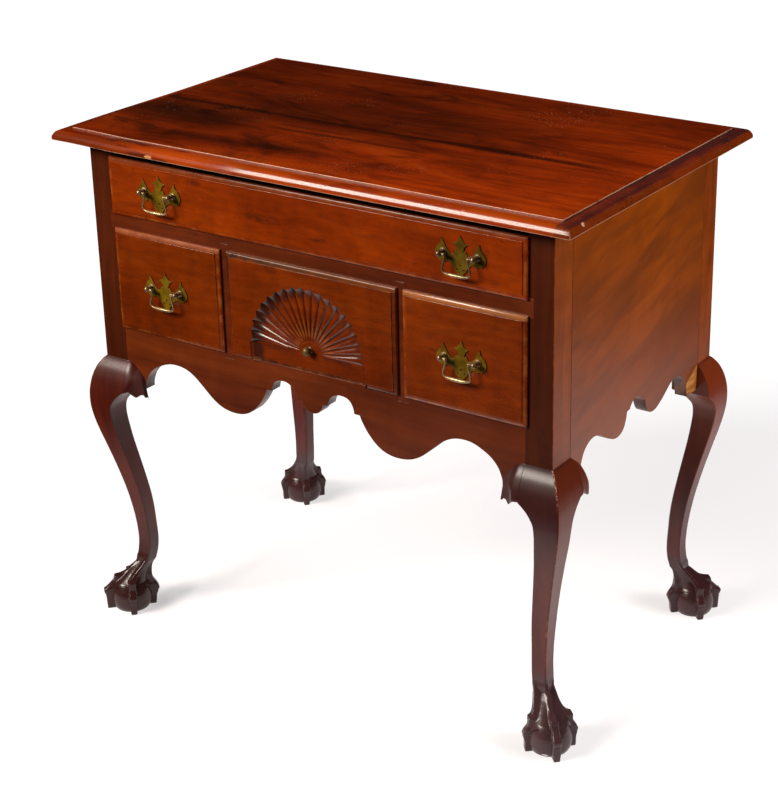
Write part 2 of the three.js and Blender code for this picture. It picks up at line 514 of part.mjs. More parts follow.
// Bail: middle line from the pivot round to the middle of the grip
const BAIL = [[21.4, 0], [18.6, -0.6], [17.2, -3.4], [17.6, -7.4], [19.4, -12.6],
  [20.6, -17.6], [20.2, -22], [17, -24.8], [12, -25.6], [6, -25.9]];
const turned = (profile, x, z, n) => {
  const g = new THREE.LatheGeometry(profile.map(([s, r]) => new THREE.Vector2(r, s)), n);
  // the lathe turns about y; outward from the drawer is -y
  g.rotateZ(Math.PI);
  g.translate(x, FACE_Y, z);
  return solid(g);
};
for (const [drawer, d] of Object.entries(drawers)) {
  for (const [which, px, pz] of d.pulls) {
    const tag = which ? `${drawer}_drawer_${which}_pull` : `${drawer}_drawer_pull`;
    // plate
    let plate = alongY(PLATE_OUTLINE.map(([u, w]) => [px + u, pz + w]),
      FACE_Y - GAP - PLATE_T, FACE_Y - GAP);
    for (const s of [-1, 1]) {
      plate = plate.subtract(rodY(px + s * POST_HALF, pz, HOLE_R, FACE_Y - 5, FACE_Y + 5));
    }
    put(`${tag}_plate`, plate, brass());
    // posts, each with its shank, nut and the socket for the bail's pin
    const axisY = FACE_Y - AXIS_OUT;
    for (const [s, side] of [[-1, 'left'], [1, 'right']]) {
      const x = px + s * POST_HALF;
      const post = turned(POST, x, pz, 10)
        .subtract(rodX(axisY, pz, SOCKET_R, Math.min(x - s * 8, x + s * 1.2), Math.max(x - s * 8, x + s * 1.2)));
      put(`${tag}_${side}_post`, post, brass());
    }
    // bail: a bent rod with a pin at each end and a thicker grip
    const path = [...BAIL, ...BAIL.slice().reverse().map(([u, w]) => [-u, w])]
      .map(([u, w]) => new THREE.Vector3(px + u, axisY, pz + w));
    const section = [];
    for (let k = 0; k < 7; k += 1) {
      section.push([1.5 * Math.cos(Math.PI * k / 3.5), 1.5 * Math.sin(Math.PI * k / 3.5)]);
    }
    const rod = new THREE.ExtrudeGeometry(shapeOf(section), {
      steps: 18, bevelEnabled: false,
      extrudePath: new THREE.CatmullRomCurve3(path, false, 'catmullrom', 0.5) });
    let bail = solid(rod);
    for (const s of [-1, 1]) {
      bail = bail.add(rodX(axisY, pz, PIN_R, px + Math.min(s * 20, s * 25.4), px + Math.max(s * 20, s * 25.4)));
    }
    const grip = new THREE.LatheGeometry([[-15, 0], [-15, 1.2], [-9, 2.2], [0, 2.8], [9, 2.2],
      [15, 1.2], [15, 0]].map(([s, r]) => new THREE.Vector2(r, s)), 8);
    grip.rotateZ(Math.PI / 2);
    grip.translate(px, axisY, pz - 25.8);
    bail = bail.add(solid(grip));
    put(`${tag}_bail`, bail, brass());
  }
}

// knob on the centre drawer, with its shank and nut
put('centre_drawer_knob', turned([[-26.3, 0], [-26.3, 4.6], [-22.3, 4.6], [-22.3, SHANK_R],
  [-5.7, SHANK_R], [-5.7, 4.4], [-4.6, 4.4], [-3.4, 2.6], [-1.6, 3.2], [0.2, 5.2],
  [2.6, 6.4], [5.2, 5.9], [7.2, 4], [8.2, 0]], FAN_X, FAN_Z + 6, 12), brass());

export default part;
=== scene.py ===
import json
import math

import bmesh
import bpy
import numpy as np
from mathutils import Matrix, Vector

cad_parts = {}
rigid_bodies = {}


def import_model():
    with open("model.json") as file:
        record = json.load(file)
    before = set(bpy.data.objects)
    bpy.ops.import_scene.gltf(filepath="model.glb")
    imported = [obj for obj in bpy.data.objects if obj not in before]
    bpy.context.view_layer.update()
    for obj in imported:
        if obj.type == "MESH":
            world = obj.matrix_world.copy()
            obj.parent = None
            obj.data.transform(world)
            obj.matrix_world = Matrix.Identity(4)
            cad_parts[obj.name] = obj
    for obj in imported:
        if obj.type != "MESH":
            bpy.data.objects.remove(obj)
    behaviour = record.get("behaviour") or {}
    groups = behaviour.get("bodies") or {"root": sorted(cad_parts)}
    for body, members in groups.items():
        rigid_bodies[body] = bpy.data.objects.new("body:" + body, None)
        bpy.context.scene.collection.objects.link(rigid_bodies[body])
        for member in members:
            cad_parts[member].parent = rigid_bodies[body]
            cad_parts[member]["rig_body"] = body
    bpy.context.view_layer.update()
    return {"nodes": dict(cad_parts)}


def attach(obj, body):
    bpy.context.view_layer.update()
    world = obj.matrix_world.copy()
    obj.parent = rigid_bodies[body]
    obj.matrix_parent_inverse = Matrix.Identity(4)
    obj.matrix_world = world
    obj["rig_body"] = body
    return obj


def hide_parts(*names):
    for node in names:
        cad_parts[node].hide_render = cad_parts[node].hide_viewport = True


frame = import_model()

# ------------------------------------------------------------------ dimensions
# millimetres, the same numbers as the CAD part
MM = 0.001
GAP = 0.3
TOP_Z, TOP_T, TOP_X, TOP_Y = 762.0, 19.0, 417.2, 257.9
CASE_X, CASE_Y0, CASE_Y1, CASE_Z1 = 377.6, -224.3, 232.3, 742.7
POST_X, FRONT_POST_Y, REAR_POST_Y = 39.8, 45.3, 40.0
BOARD_T, BACK_T = 19.3, 12.0
ROW1, ROW0 = (647.3, 725.3), (474.5, 620.6)
DIV_L, DIV_R = (-152.2, -136.2), (140.1, 156.1)
IN_X = CASE_X - POST_X
PANEL_IN = CASE_X - BOARD_T
LIP_OUT, LIP_CLEAR, FRONT_T = 6.6, 0.4, 22.0
SIDE_CLEAR, RUN_CLEAR, TOP_CLEAR = 1.5, 0.7, 1.5
BOX_T, BOTTOM_T, BOX_Y1 = 11.0, 8.0, 205.0
FACE_Y = CASE_Y0 - LIP_OUT
FRONT_IN = FACE_Y + FRONT_T
POST_HALF, PLATE_T, AXIS_OUT = 25.7, 1.5, 12.0
FAN_X, FAN_Z, FAN_DEEP, BOSS_R = -2.0, 500.0, 8.0, 19.5
RNG = np.random.default_rng(11)

LEG_OUTER = [[0, 419], [3.2, 416], [7.2, 411], [11.2, 404.5], [14.6, 396.5], [17.4, 388], [19.6, 378],
    [21.2, 367], [21.8, 354], [21.2, 338], [18.2, 318], [13.9, 298], [9, 278],
    [4, 257], [-0.6, 237], [-5, 216], [-9, 195], [-12.2, 174], [-14.7, 154],
    [-16.4, 133], [-17, 112], [-15.3, 92], [-13, 82], [-12, 62], [-12, 30]]
LEG_INNER = [[-29, 30], [-31, 58], [-34.8, 78], [-37.6, 98],
    [-39.2, 119], [-39.2, 139], [-38.3, 164], [-35.8, 191], [-31.4, 222],
    [-26.5, 253], [-21.7, 283], [-17.9, 313], [-16.6, 330], [-17.6, 344],
    [-22, 353], [-27, 360], [-34, 367], [-39.8, 371.5]]
BALL_R, BALL_Z = 28.5, 27.0
TOE_FRONT = [[-22, 100], [-17, 88], [-11, 77], [-1, 66.5], [10, 59], [18, 56], [24.5, 54.3],
    [27.5, 46], [38, 35], [42.3, 31], [39.5, 19.5], [38.6, 2.5], [36.4, 0.2], [20, 0.2],
    [20, 12], [18, 30], [8, 46], [-12, 56], [-20, 60]]
TOE_BACK = [[39, 94], [37.8, 82], [35, 70], [33, 60], [32.8, 50], [34.4, 43.5],
    [40, 34], [42.5, 26.5], [38.3, 16], [36.6, 2.5], [34.5, 0.2], [20, 0.2], [20, 12],
    [20, 30], [20, 94]]
TOE_SIDE = [[8, 98], [11, 86], [13.5, 76], [16, 66.5], [20, 58.5], [25.5, 53.6], [31, 50.8], [32, 40],
    [38.6, 28], [36, 15], [35.6, 2.5], [33.6, 0.2], [20, 0.2], [20, 14], [16, 34], [4, 50], [-8, 60]]
BLOCK_TOP = [[39.0, 419.0], [44, 418.9], [48, 417.6], [53, 414.0], [58, 410.0], [62.7, 406],
    [69.6, 397.4], [72, 385], [74, 374], [76, 363]]
BLOCK_LOW = [[40.1, 372], [51, 371.4], [58, 363.5], [60.5, 362], [65, 366],
    [70, 366.5], [73.5, 362.5], [76, 363]]
PLAN_FRONT = [[0, 22], [45, 21], [52, 17], [59, 11.5], [66, 7.5], [71, 5.5], [80, 3.5]]
PLAN_SIDE = [[0, 22], [55, 21], [64, 18.5], [71, 14], [80, 8.5]]
EAR = 56
SIDE_SCROLL = [[0, 437.8], [4.5, 437.2], [8.5, 435.6], [12.5, 432.8],
    [16, 429.3], [18, 426.2], [25.8, 425.4], [27, 420.5], [29, 414], [32.5, 407],
    [37, 402], [43, 398.8], [50, 397.3], [57, 397.5], [64, 399.2], [72, 402.6],
    [81, 407], [90, 412.4], [99, 418], [108, 421.8], [118, 423.8], [126, 423.2],
    [134, 420.6], [141, 416.4], [146.5, 410.6], [150.5, 403.5], [154, 394.5],
    [156, 386], [156.8, 380]]
APRON_SCROLL = [[-305.6, 380], [-305.2, 386.4], [-303.2, 393.6], [-299.3, 402.3],
    [-292.8, 410.6], [-284.4, 417.3], [-275, 422.4], [-265.4, 426.6], [-255, 429.5],
    [-243.4, 430.3], [-231, 428.9], [-220, 425], [-210, 418.8], [-201, 411.4],
    [-190.6, 402.2], [-180.2, 393.2], [-170.3, 386.7], [-160.6, 382.6], [-151, 380.4],
    [-141.5, 379.6], [-132, 380.2], [-122.5, 382.4], [-113, 387], [-104, 394.2],
    [-96, 403.2], [-89.5, 412.6], [-84.2, 422.2], [-81.4, 429.1], [-72.4, 429.2],
    [-71.2, 435.2], [-68.4, 441.3], [-63, 446.2], [-55.8, 448], [-47.5, 448],
    [-40.5, 445.3], [-35.4, 441.4], [-31.6, 436.5], [-29.2, 430.5], [-28, 425.5],
    [-19.6, 425.2], [-18, 419.6], [-14.5, 415.6], [-10, 412.9], [-5, 411.6],
    [-0.5, 411.4], [3.6, 412.4], [7.4, 414.4], [10.8, 417.6], [13.4, 422.3],
    [14.8, 428], [23.2, 428.3], [24.6, 433.1], [27.2, 438.8], [31.4, 443.3],
    [37, 446.6], [44.5, 448.3], [53.5, 447.5], [59.5, 444.6], [64, 439],
    [66.5, 432.5], [67.6, 426.4], [76.6, 426.3], [79.5, 419.5], [85, 410],
    [92, 400.6], [100.5, 391.6], [110, 384.6], [120, 380.2], [130, 378.1],
    [140, 377.7], [150, 378.7], [160, 381.2], [170, 385.8], [180, 392.6],
    [190.5, 401.8], [201, 411.2], [210, 418.8], [220, 425], [231, 428.9],
    [243, 430.3], [254, 429.5], [264, 426.6], [273, 422.4], [282, 417.3],
    [290, 410.6], [296.5, 402.3], [300.4, 393.6], [302.4, 386.4], [302.8, 380]]
DRAWERS = {
    "long": dict(lip=(-341, 341.6, 644.3, 728.3), open=(-IN_X, IN_X) + ROW1,
                 pulls=[("left", -248, 689.4), ("right", 245.6, 690)]),
    "left": dict(lip=(-339.3, -149.8, 471.5, 623.6), open=(-IN_X, DIV_L[0]) + ROW0,
                 pulls=[("", -247, 547.3)]),
    "centre": dict(lip=(-138.6, 143.2, 471.5, 623.6), open=(DIV_L[1], DIV_R[0]) + ROW0, pulls=[]),
    "right": dict(lip=(153, 341.6, 471.5, 623.6), open=(DIV_R[1], IN_X) + ROW0,
                  pulls=[("", 245.6, 548)]),
}
PLATE = [[0, 25], [2.6, 19.5], [6.4, 15.2], [11, 13.5], [6.6, 10],
    [4.2, 3], [7.6, 4.8], [10.5, -1.4], [14.5, -1.8], [20, 3.4], [24, 10.4],
    [28, 17.5], [29.8, 10.6], [34.4, 6.2], [38, -1.5], [36.8, -7.4], [31.5, -12.8],
    [26.5, -13.2], [24.4, -15], [21.5, -12.2], [15.6, -13.6], [10.4, -18.6],
    [8, -23], [5.2, -25.4], [4.4, -28.4]]
BAIL = [[21.4, 0], [18.6, -0.6], [17.2, -3.4], [17.6, -7.4], [19.4, -12.6],
    [20.6, -17.6], [20.2, -22], [17, -24.8], [12, -25.6], [6, -25.9]]


# ---------------------------------------------------------------- mesh helpers
def catmull(pts, n=6, sharp=None, closed=False):
    """Resample a polyline with a Catmull-Rom curve. Vertices turning by more
    than `sharp` degrees stay corners."""
    p = np.asarray(pts, float)
    m = len(p)
    corner = np.zeros(m, bool)
    if not closed:
        corner[[0, -1]] = True
    if sharp is not None:
        for i in range(m):
            if corner[i]:
                continue
            a = p[i] - p[i - 1]
            b = p[(i + 1) % m] - p[i]
            c = np.dot(a, b) / (np.linalg.norm(a) * np.linalg.norm(b) + 1e-12)
            corner[i] = math.degrees(math.acos(max(-1, min(1, c)))) > sharp
    out = []
    for i in range(m if closed else m - 1):
        j = (i + 1) % m
        p1, p2 = p[i], p[j]
        p0 = p1 - (p2 - p1) if corner[i] else p[i - 1]
        p3 = p2 + (p2 - p1) if corner[j] else p[(j + 1) % m]
        for k in range(n):
            t = k / n
            out.append(0.5 * (2 * p1 + (p2 - p0) * t + (2 * p0 - 5 * p1 + 4 * p2 - p3) * t * t
                              + (3 * p1 - p0 - 3 * p2 + p3) * t ** 3))
    if not closed:
        out.append(p[-1])
    return np.array(out)


def smooth(t):
    t = np.clip(t, 0, 1)
    return t * t * (3 - 2 * t)


def smin(a, b, k):
    h = np.clip(0.5 + 0.5 * (b - a) / k, 0, 1)
    return b + (a - b) * h - k * h * (1 - h)


class Shape:
    """Collects vertices (mm) and faces of one piece."""

    def __init__(self):
        self.v, self.f, self.m, self.n = [], [], [], 0

    def points(self, pts):
        base = self.n
        pts = np.asarray(pts, float).reshape(-1, 3)
        self.v.append(pts)
        self.n += len(pts)
        return base

    def face(self, idx, mat=0):
        self.f.append([int(i) for i in idx])
        self.m.append(mat)

    def grid(self, P, wrap=False, mat=0):
        """P[rows, cols, 3]; wrap joins the last column to the first."""
        r, c = P.shape[:2]
        base = self.points(P)
        i = np.arange(r - 1)[:, None] * c
        j = np.arange(c if wrap else c - 1)[None, :]
        j2 = (j + 1) % c
        q = np.stack([i + j, i + j2, i + c + j2, i + c + j], -1).reshape(-1, 4) + base
        self.f.extend(q.tolist())
        self.m.extend([mat] * len(q))
        return base

    def tube(self, rings, cap0=True, cap1=True, mat=0):
        rings = np.asarray(rings, float)
        base = self.grid(rings, wrap=True, mat=mat)
        r, c = rings.shape[:2]
        if cap0:
            self.face([base + k for k in range(c)][::-1], mat)
        if cap1:
            self.face([base + (r - 1) * c + k for k in range(c)], mat)
        return base

    def box(self, x0, x1, y0, y1, z0, z1, b=0.5, mat=0):
        """A board with eased arrises."""
        rings = []
        for y, e in ((y0, b), (y0 + 0.3 * b, 0.3 * b), (y0 + b, 0), (y1 - b, 0), (y1 - 0.3 * b, 0.3 * b), (y1, b)):
            c = 0.35 * b
            rings.append([(x0 + e, y, z0 + e + c), (x0 + e + c, y, z0 + e), (x1 - e - c, y, z0 + e), (x1 - e, y, z0 + e + c),
                          (x1 - e, y, z1 - e - c), (x1 - e - c, y, z1 - e), (x0 + e + c, y, z1 - e), (x0 + e, y, z1 - e - c)])
        return self.tube(np.array(rings), mat=mat)


def finish_piece(name, shape, body, nodes, mats, angle=32.0, wear_and_highlight=(150.0, 520.0), weld=1e-6, dirt_and_shade=None, blur=2, keep=None):
    """Turns a Shape into an object that rides on a body and replaces nodes."""
    me = bpy.data.meshes.new(name)
    me.from_pydata((np.concatenate(shape.v) * MM).tolist(), [], shape.f)
    me.polygons.foreach_set("material_index", shape.m)
    bm = bmesh.new()
    bm.from_mesh(me)
    bmesh.ops.remove_doubles(bm, verts=bm.verts, dist=weld)
    bmesh.ops.dissolve_degenerate(bm, edges=bm.edges, dist=1e-7)
    bmesh.ops.recalc_face_normals(bm, faces=bm.faces)
    bm.to_mesh(me)
    bm.free()
    return place(name, me, body, nodes, mats, angle, wear_and_highlight, dirt_and_shade, blur, keep)


def face_widths(me):
    """Twice the area over the outline of each face: about its shorter side."""
    co = np.zeros(len(me.vertices) * 3)
    me.vertices.foreach_get("co", co)
    co = co.reshape(-1, 3)
    ed = np.zeros(len(me.edges) * 2, int)
    me.edges.foreach_get("vertices", ed)
    ed = ed.reshape(-1, 2)
    el = np.linalg.norm(co[ed[:, 0]] - co[ed[:, 1]], axis=1)
    le = np.zeros(len(me.loops), int)
    me.loops.foreach_get("edge_index", le)
    st = np.zeros(len(me.polygons), int)
    me.polygons.foreach_get("loop_start", st)
    area = np.zeros(len(me.polygons))
    me.polygons.foreach_get("area", area)
    return 2 * area / np.maximum(np.add.reduceat(el[le], st), 1e-9)


def place(name, me, body, nodes, mats, angle=32.0, wear_and_highlight=(150.0, 520.0), dirt_and_shade=None, blur=2, keep=None):
    me.update()
    me.polygons.foreach_set("use_smooth", [True] * len(me.polygons))
    me.set_sharp_from_angle(angle=math.radians(angle))
    pn = np.zeros(len(me.polygons) * 3)
    me.polygons.foreach_get("normal", pn)
    square = np.abs(pn.reshape(-1, 3)).max(1) > 0.99999
    small = (face_widths(me) < 5.5 * MM) & ~square
    me.polygons.foreach_set("use_smooth", small.tolist())
    me.update()
    edge_attributes(me, wear_and_highlight, small, dirt_and_shade, blur, keep)
    ob = bpy.data.objects.new(name, me)
    bpy.context.scene.collection.objects.link(ob)
    for m in mats:
        me.materials.append(m)
    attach(ob, body)
    if nodes:
        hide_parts(*nodes)
    return ob


def edge_attributes(me, wear_and_highlight, small, dirt_and_shade, blur, keep):
    """Pale rubbed convex arrises, which on the top board's fillet stand in for a
    painted highlight, and dark hollows, part soiling and part painted shade, from the
    mesh's curvature, kept to the narrow faces of the arrises themselves. dirt_and_shade
    adds more from the points' places, in millimetres: soiling on the feet, painted
    shade on sawn lower edges and in the fan; keep thins the rubbed marks."""
    nv = len(me.vertices)
    co = np.zeros(nv * 3)
    me.vertices.foreach_get("co", co)
    co = co.reshape(-1, 3)
    no = np.zeros(nv * 3)
    me.vertices.foreach_get("normal", no)
    no = no.reshape(-1, 3)
    ed = np.zeros(len(me.edges) * 2, int)
    me.edges.foreach_get("vertices", ed)
    ed = ed.reshape(-1, 2)
    d = co[ed[:, 0]] - co[ed[:, 1]]
    l2 = np.maximum((d ** 2).sum(1), 1e-10)
    k0 = 2 * (no[ed[:, 0]] * d).sum(1) / l2
    k1 = -2 * (no[ed[:, 1]] * d).sum(1) / l2
    hi = np.zeros(nv)
    lo = np.zeros(nv)
    np.maximum.at(hi, ed[:, 0], k0)
    np.maximum.at(hi, ed[:, 1], k1)
    np.minimum.at(lo, ed[:, 0], k0)
    np.minimum.at(lo, ed[:, 1], k1)
    w = smooth((hi - wear_and_highlight[0]) / (wear_and_highlight[1] - wear_and_highlight[0]))
    if keep is not None:
        w = w * keep(co / MM)
    g = smooth((-lo - 120) / 500)
    close = l2 < (3.0 * MM) ** 2
    ea, eb = ed[close, 0], ed[close, 1]
    cnt = np.maximum(np.bincount(ea, minlength=nv) + np.bincount(eb, minlength=nv), 1)
    for _ in range(blur):
        avg = (np.bincount(ea, g[eb], nv) + np.bincount(eb, g[ea], nv)) / cnt
        g = np.maximum(g * 0.9, avg)
    if dirt_and_shade is not None:
        g = np.clip(np.maximum(g, dirt_and_shade(co / MM)), 0, 1)
    tot = np.zeros(len(me.polygons), int)
    me.polygons.foreach_get("loop_total", tot)
    lv = np.zeros(len(me.loops), int)
    me.loops.foreach_get("vertex_index", lv)
    on = np.repeat(small, tot)
    for key, val in (("wear_and_highlight", w), ("grime_and_shade", g)):
        a = me.attributes.new(key, "FLOAT", "CORNER")
        a.data.foreach_set("value", np.where(on, val[lv], 0).astype(np.float32))


def offset_loop(p, d):
    """Moves a closed outline inward by d, mitred."""
    p = np.asarray(p, float)
    area = 0.5 * np.sum(p[:, 0] * np.roll(p[:, 1], -1) - np.roll(p[:, 0], -1) * p[:, 1])
    s = 1 if area > 0 else -1
    e = np.roll(p, -1, 0) - p
    n = np.stack([-e[:, 1], e[:, 0]], 1) * s
    n /= np.linalg.norm(n, axis=1)[:, None] + 1e-12
    m = n + np.roll(n, 1, 0)
    m /= (m ** 2).sum(1)[:, None] / 2 + 1e-9
    l = np.linalg.norm(m, axis=1)
    m *= (np.minimum(l, 2.2) / (l + 1e-12))[:, None]
    return p + m * d


def sawn(shape, outline, axis, a0, a1, b=0.5, mat=0, side_mat=None):
    """A board sawn to an outline, its arrises eased by b. axis: 0 or 1."""
    rings = []
    for a, e in ((a0, b), (a0 + 0.3 * b, 0.3 * b), (a0 + b, 0), (a1 - b, 0), (a1 - 0.3 * b, 0.3 * b), (a1, b)):
        o = offset_loop(outline, e) if e else np.asarray(outline, float)
        rings.append(np.stack([o[:, 0], np.full(len(o), a), o[:, 1]], 1) if axis == 1
                     else np.stack([np.full(len(o), a), o[:, 0], o[:, 1]], 1))
    R = np.array(rings)
    base = shape.grid(R, wrap=True, mat=mat if side_mat is None else side_mat)
    c = R.shape[1]
    shape.face([base + k for k in range(c)][::-1], mat)
    shape.face([base + 5 * c + k for k in range(c)], mat)


def clone(node, name, mats, bevel=0.6, seg=2, angle=32.0):
    """A copy of a CAD node with eased arrises, standing for it."""
    src = frame["nodes"][node]
    bm = bmesh.new()
    bm.from_mesh(src.data)
    bmesh.ops.remove_doubles(bm, verts=bm.verts, dist=2e-6)
    bmesh.ops.dissolve_limit(bm, angle_limit=math.radians(1.0), verts=bm.verts, edges=bm.edges)
    bmesh.ops.recalc_face_normals(bm, faces=bm.faces)
    edges = [e for e in bm.edges if len(e.link_faces) == 2 and e.calc_face_angle(0) > math.radians(28)]
    bmesh.ops.bevel(bm, geom=edges, offset=bevel * MM, offset_type="OFFSET", segments=seg,
                    profile=0.5, affect="EDGES", clamp_overlap=True)
    for f in bm.faces:
        f.material_index = 0
    me = bpy.data.meshes.new(name)
    bm.to_mesh(me)
    bm.free()
    for a in [a.name for a in me.attributes if a.name.startswith("UV") or a.name.startswith("Color")]:
        me.attributes.remove(me.attributes[a])
    return place(name, me, src["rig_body"], [node], mats, angle)


# ------------------------------------------------------------------- materials
class Nodes:
    """Short names for the nodes of one material."""

    def __init__(self, name):
        self.mat = bpy.data.materials.new(name)
        self.mat.use_nodes = True
        self.t = self.mat.node_tree
        self.bsdf = self.t.nodes["Principled BSDF"]

    def put(self, socket, value):
        if isinstance(value, bpy.types.NodeSocket):
            self.t.links.new(value, socket)
        else:
            socket.default_value = value

    def new(self, kind, **props):
        n = self.t.nodes.new(kind)
        for k, v in props.items():
            setattr(n, k, v)
        return n

    def math(self, op, a, b=0.0, clamp=False):
        n = self.new("ShaderNodeMath", operation=op, use_clamp=clamp)
        self.put(n.inputs[0], a)
        self.put(n.inputs[1], b)
        return n.outputs[0]

    def mix(self, fac, a, b, mode="MIX"):
        n = self.new("ShaderNodeMix", data_type="RGBA", blend_type=mode)
        self.put(n.inputs[0], fac)
        self.put(n.inputs[6], a if isinstance(a, bpy.types.NodeSocket) else tuple(a) + (1.0,) * (4 - len(a)))
        self.put(n.inputs[7], b if isinstance(b, bpy.types.NodeSocket) else tuple(b) + (1.0,) * (4 - len(b)))
        return n.outputs[2]

    def noise(self, vec, scale=1.0, detail=3.0, rough=0.5, dist=0.0):
        n = self.new("ShaderNodeTexNoise")
        self.put(n.inputs["Vector"], vec)
        n.inputs["Scale"].default_value = scale
        n.inputs["Detail"].default_value = detail
        n.inputs["Roughness"].default_value = rough
        n.inputs["Distortion"].default_value = dist
        return n.outputs[0]

    def remap(self, v, a, b, c=0.0, d=1.0):
        n = self.new("ShaderNodeMapRange", interpolation_type="SMOOTHSTEP")
        self.put(n.inputs[0], v)
        for k, x in enumerate((a, b, c, d)):
            n.inputs[k + 1].default_value = x
        return n.outputs[0]

    def ramp(self, fac, stops):
        n = self.new("ShaderNodeValToRGB")
        self.put(n.inputs[0], fac)
        e = n.color_ramp.elements
        while len(e) < len(stops):
            e.new(0.5)
        for k, (p, c) in enumerate(stops):
            e[k].position = p
            e[k].color = tuple(c) + (1.0,)
        return n.outputs[0]

    def vec(self, x, y, z):
        n = self.new("ShaderNodeCombineXYZ")
        for k, v in enumerate((x, y, z)):
            self.put(n.inputs[k], v)
        return n.outputs[0]

    def vmath(self, op, a, b=(0, 0, 0)):
        n = self.new("ShaderNodeVectorMath", operation=op)
        self.put(n.inputs[0], a)
        self.put(n.inputs[1], b)
        return n.outputs[0]

    def scaled(self, v, s):
        return self.vmath("MULTIPLY", v, s)

    def coords(self):
        """Object coordinates in metres, split."""
        tc = self.new("ShaderNodeTexCoord").outputs["Object"]
        s = self.new("ShaderNodeSeparateXYZ")
        self.put(s.inputs[0], tc)
        return tc, s.outputs

    def attr(self, name):
        n = self.new("ShaderNodeAttribute", attribute_name=name)
        return n.outputs["Fac"]


def near(g, xyz, centre, radius, soft=0.5):
    """1 inside an ellipsoid spot, falling to 0 outside. Metres."""
    terms = []
    for k in range(3):
        if radius[k] is None:
            continue
        d = g.math("DIVIDE", g.math("SUBTRACT", xyz[k], centre[k]), radius[k])
        terms.append(g.math("MULTIPLY", d, d))
    t = terms[0]
    for u in terms[1:]:
        t = g.math("ADD", t, u)
    return g.remap(t, 1.0 - soft, 1.0 + soft, 1.0, 0.0)


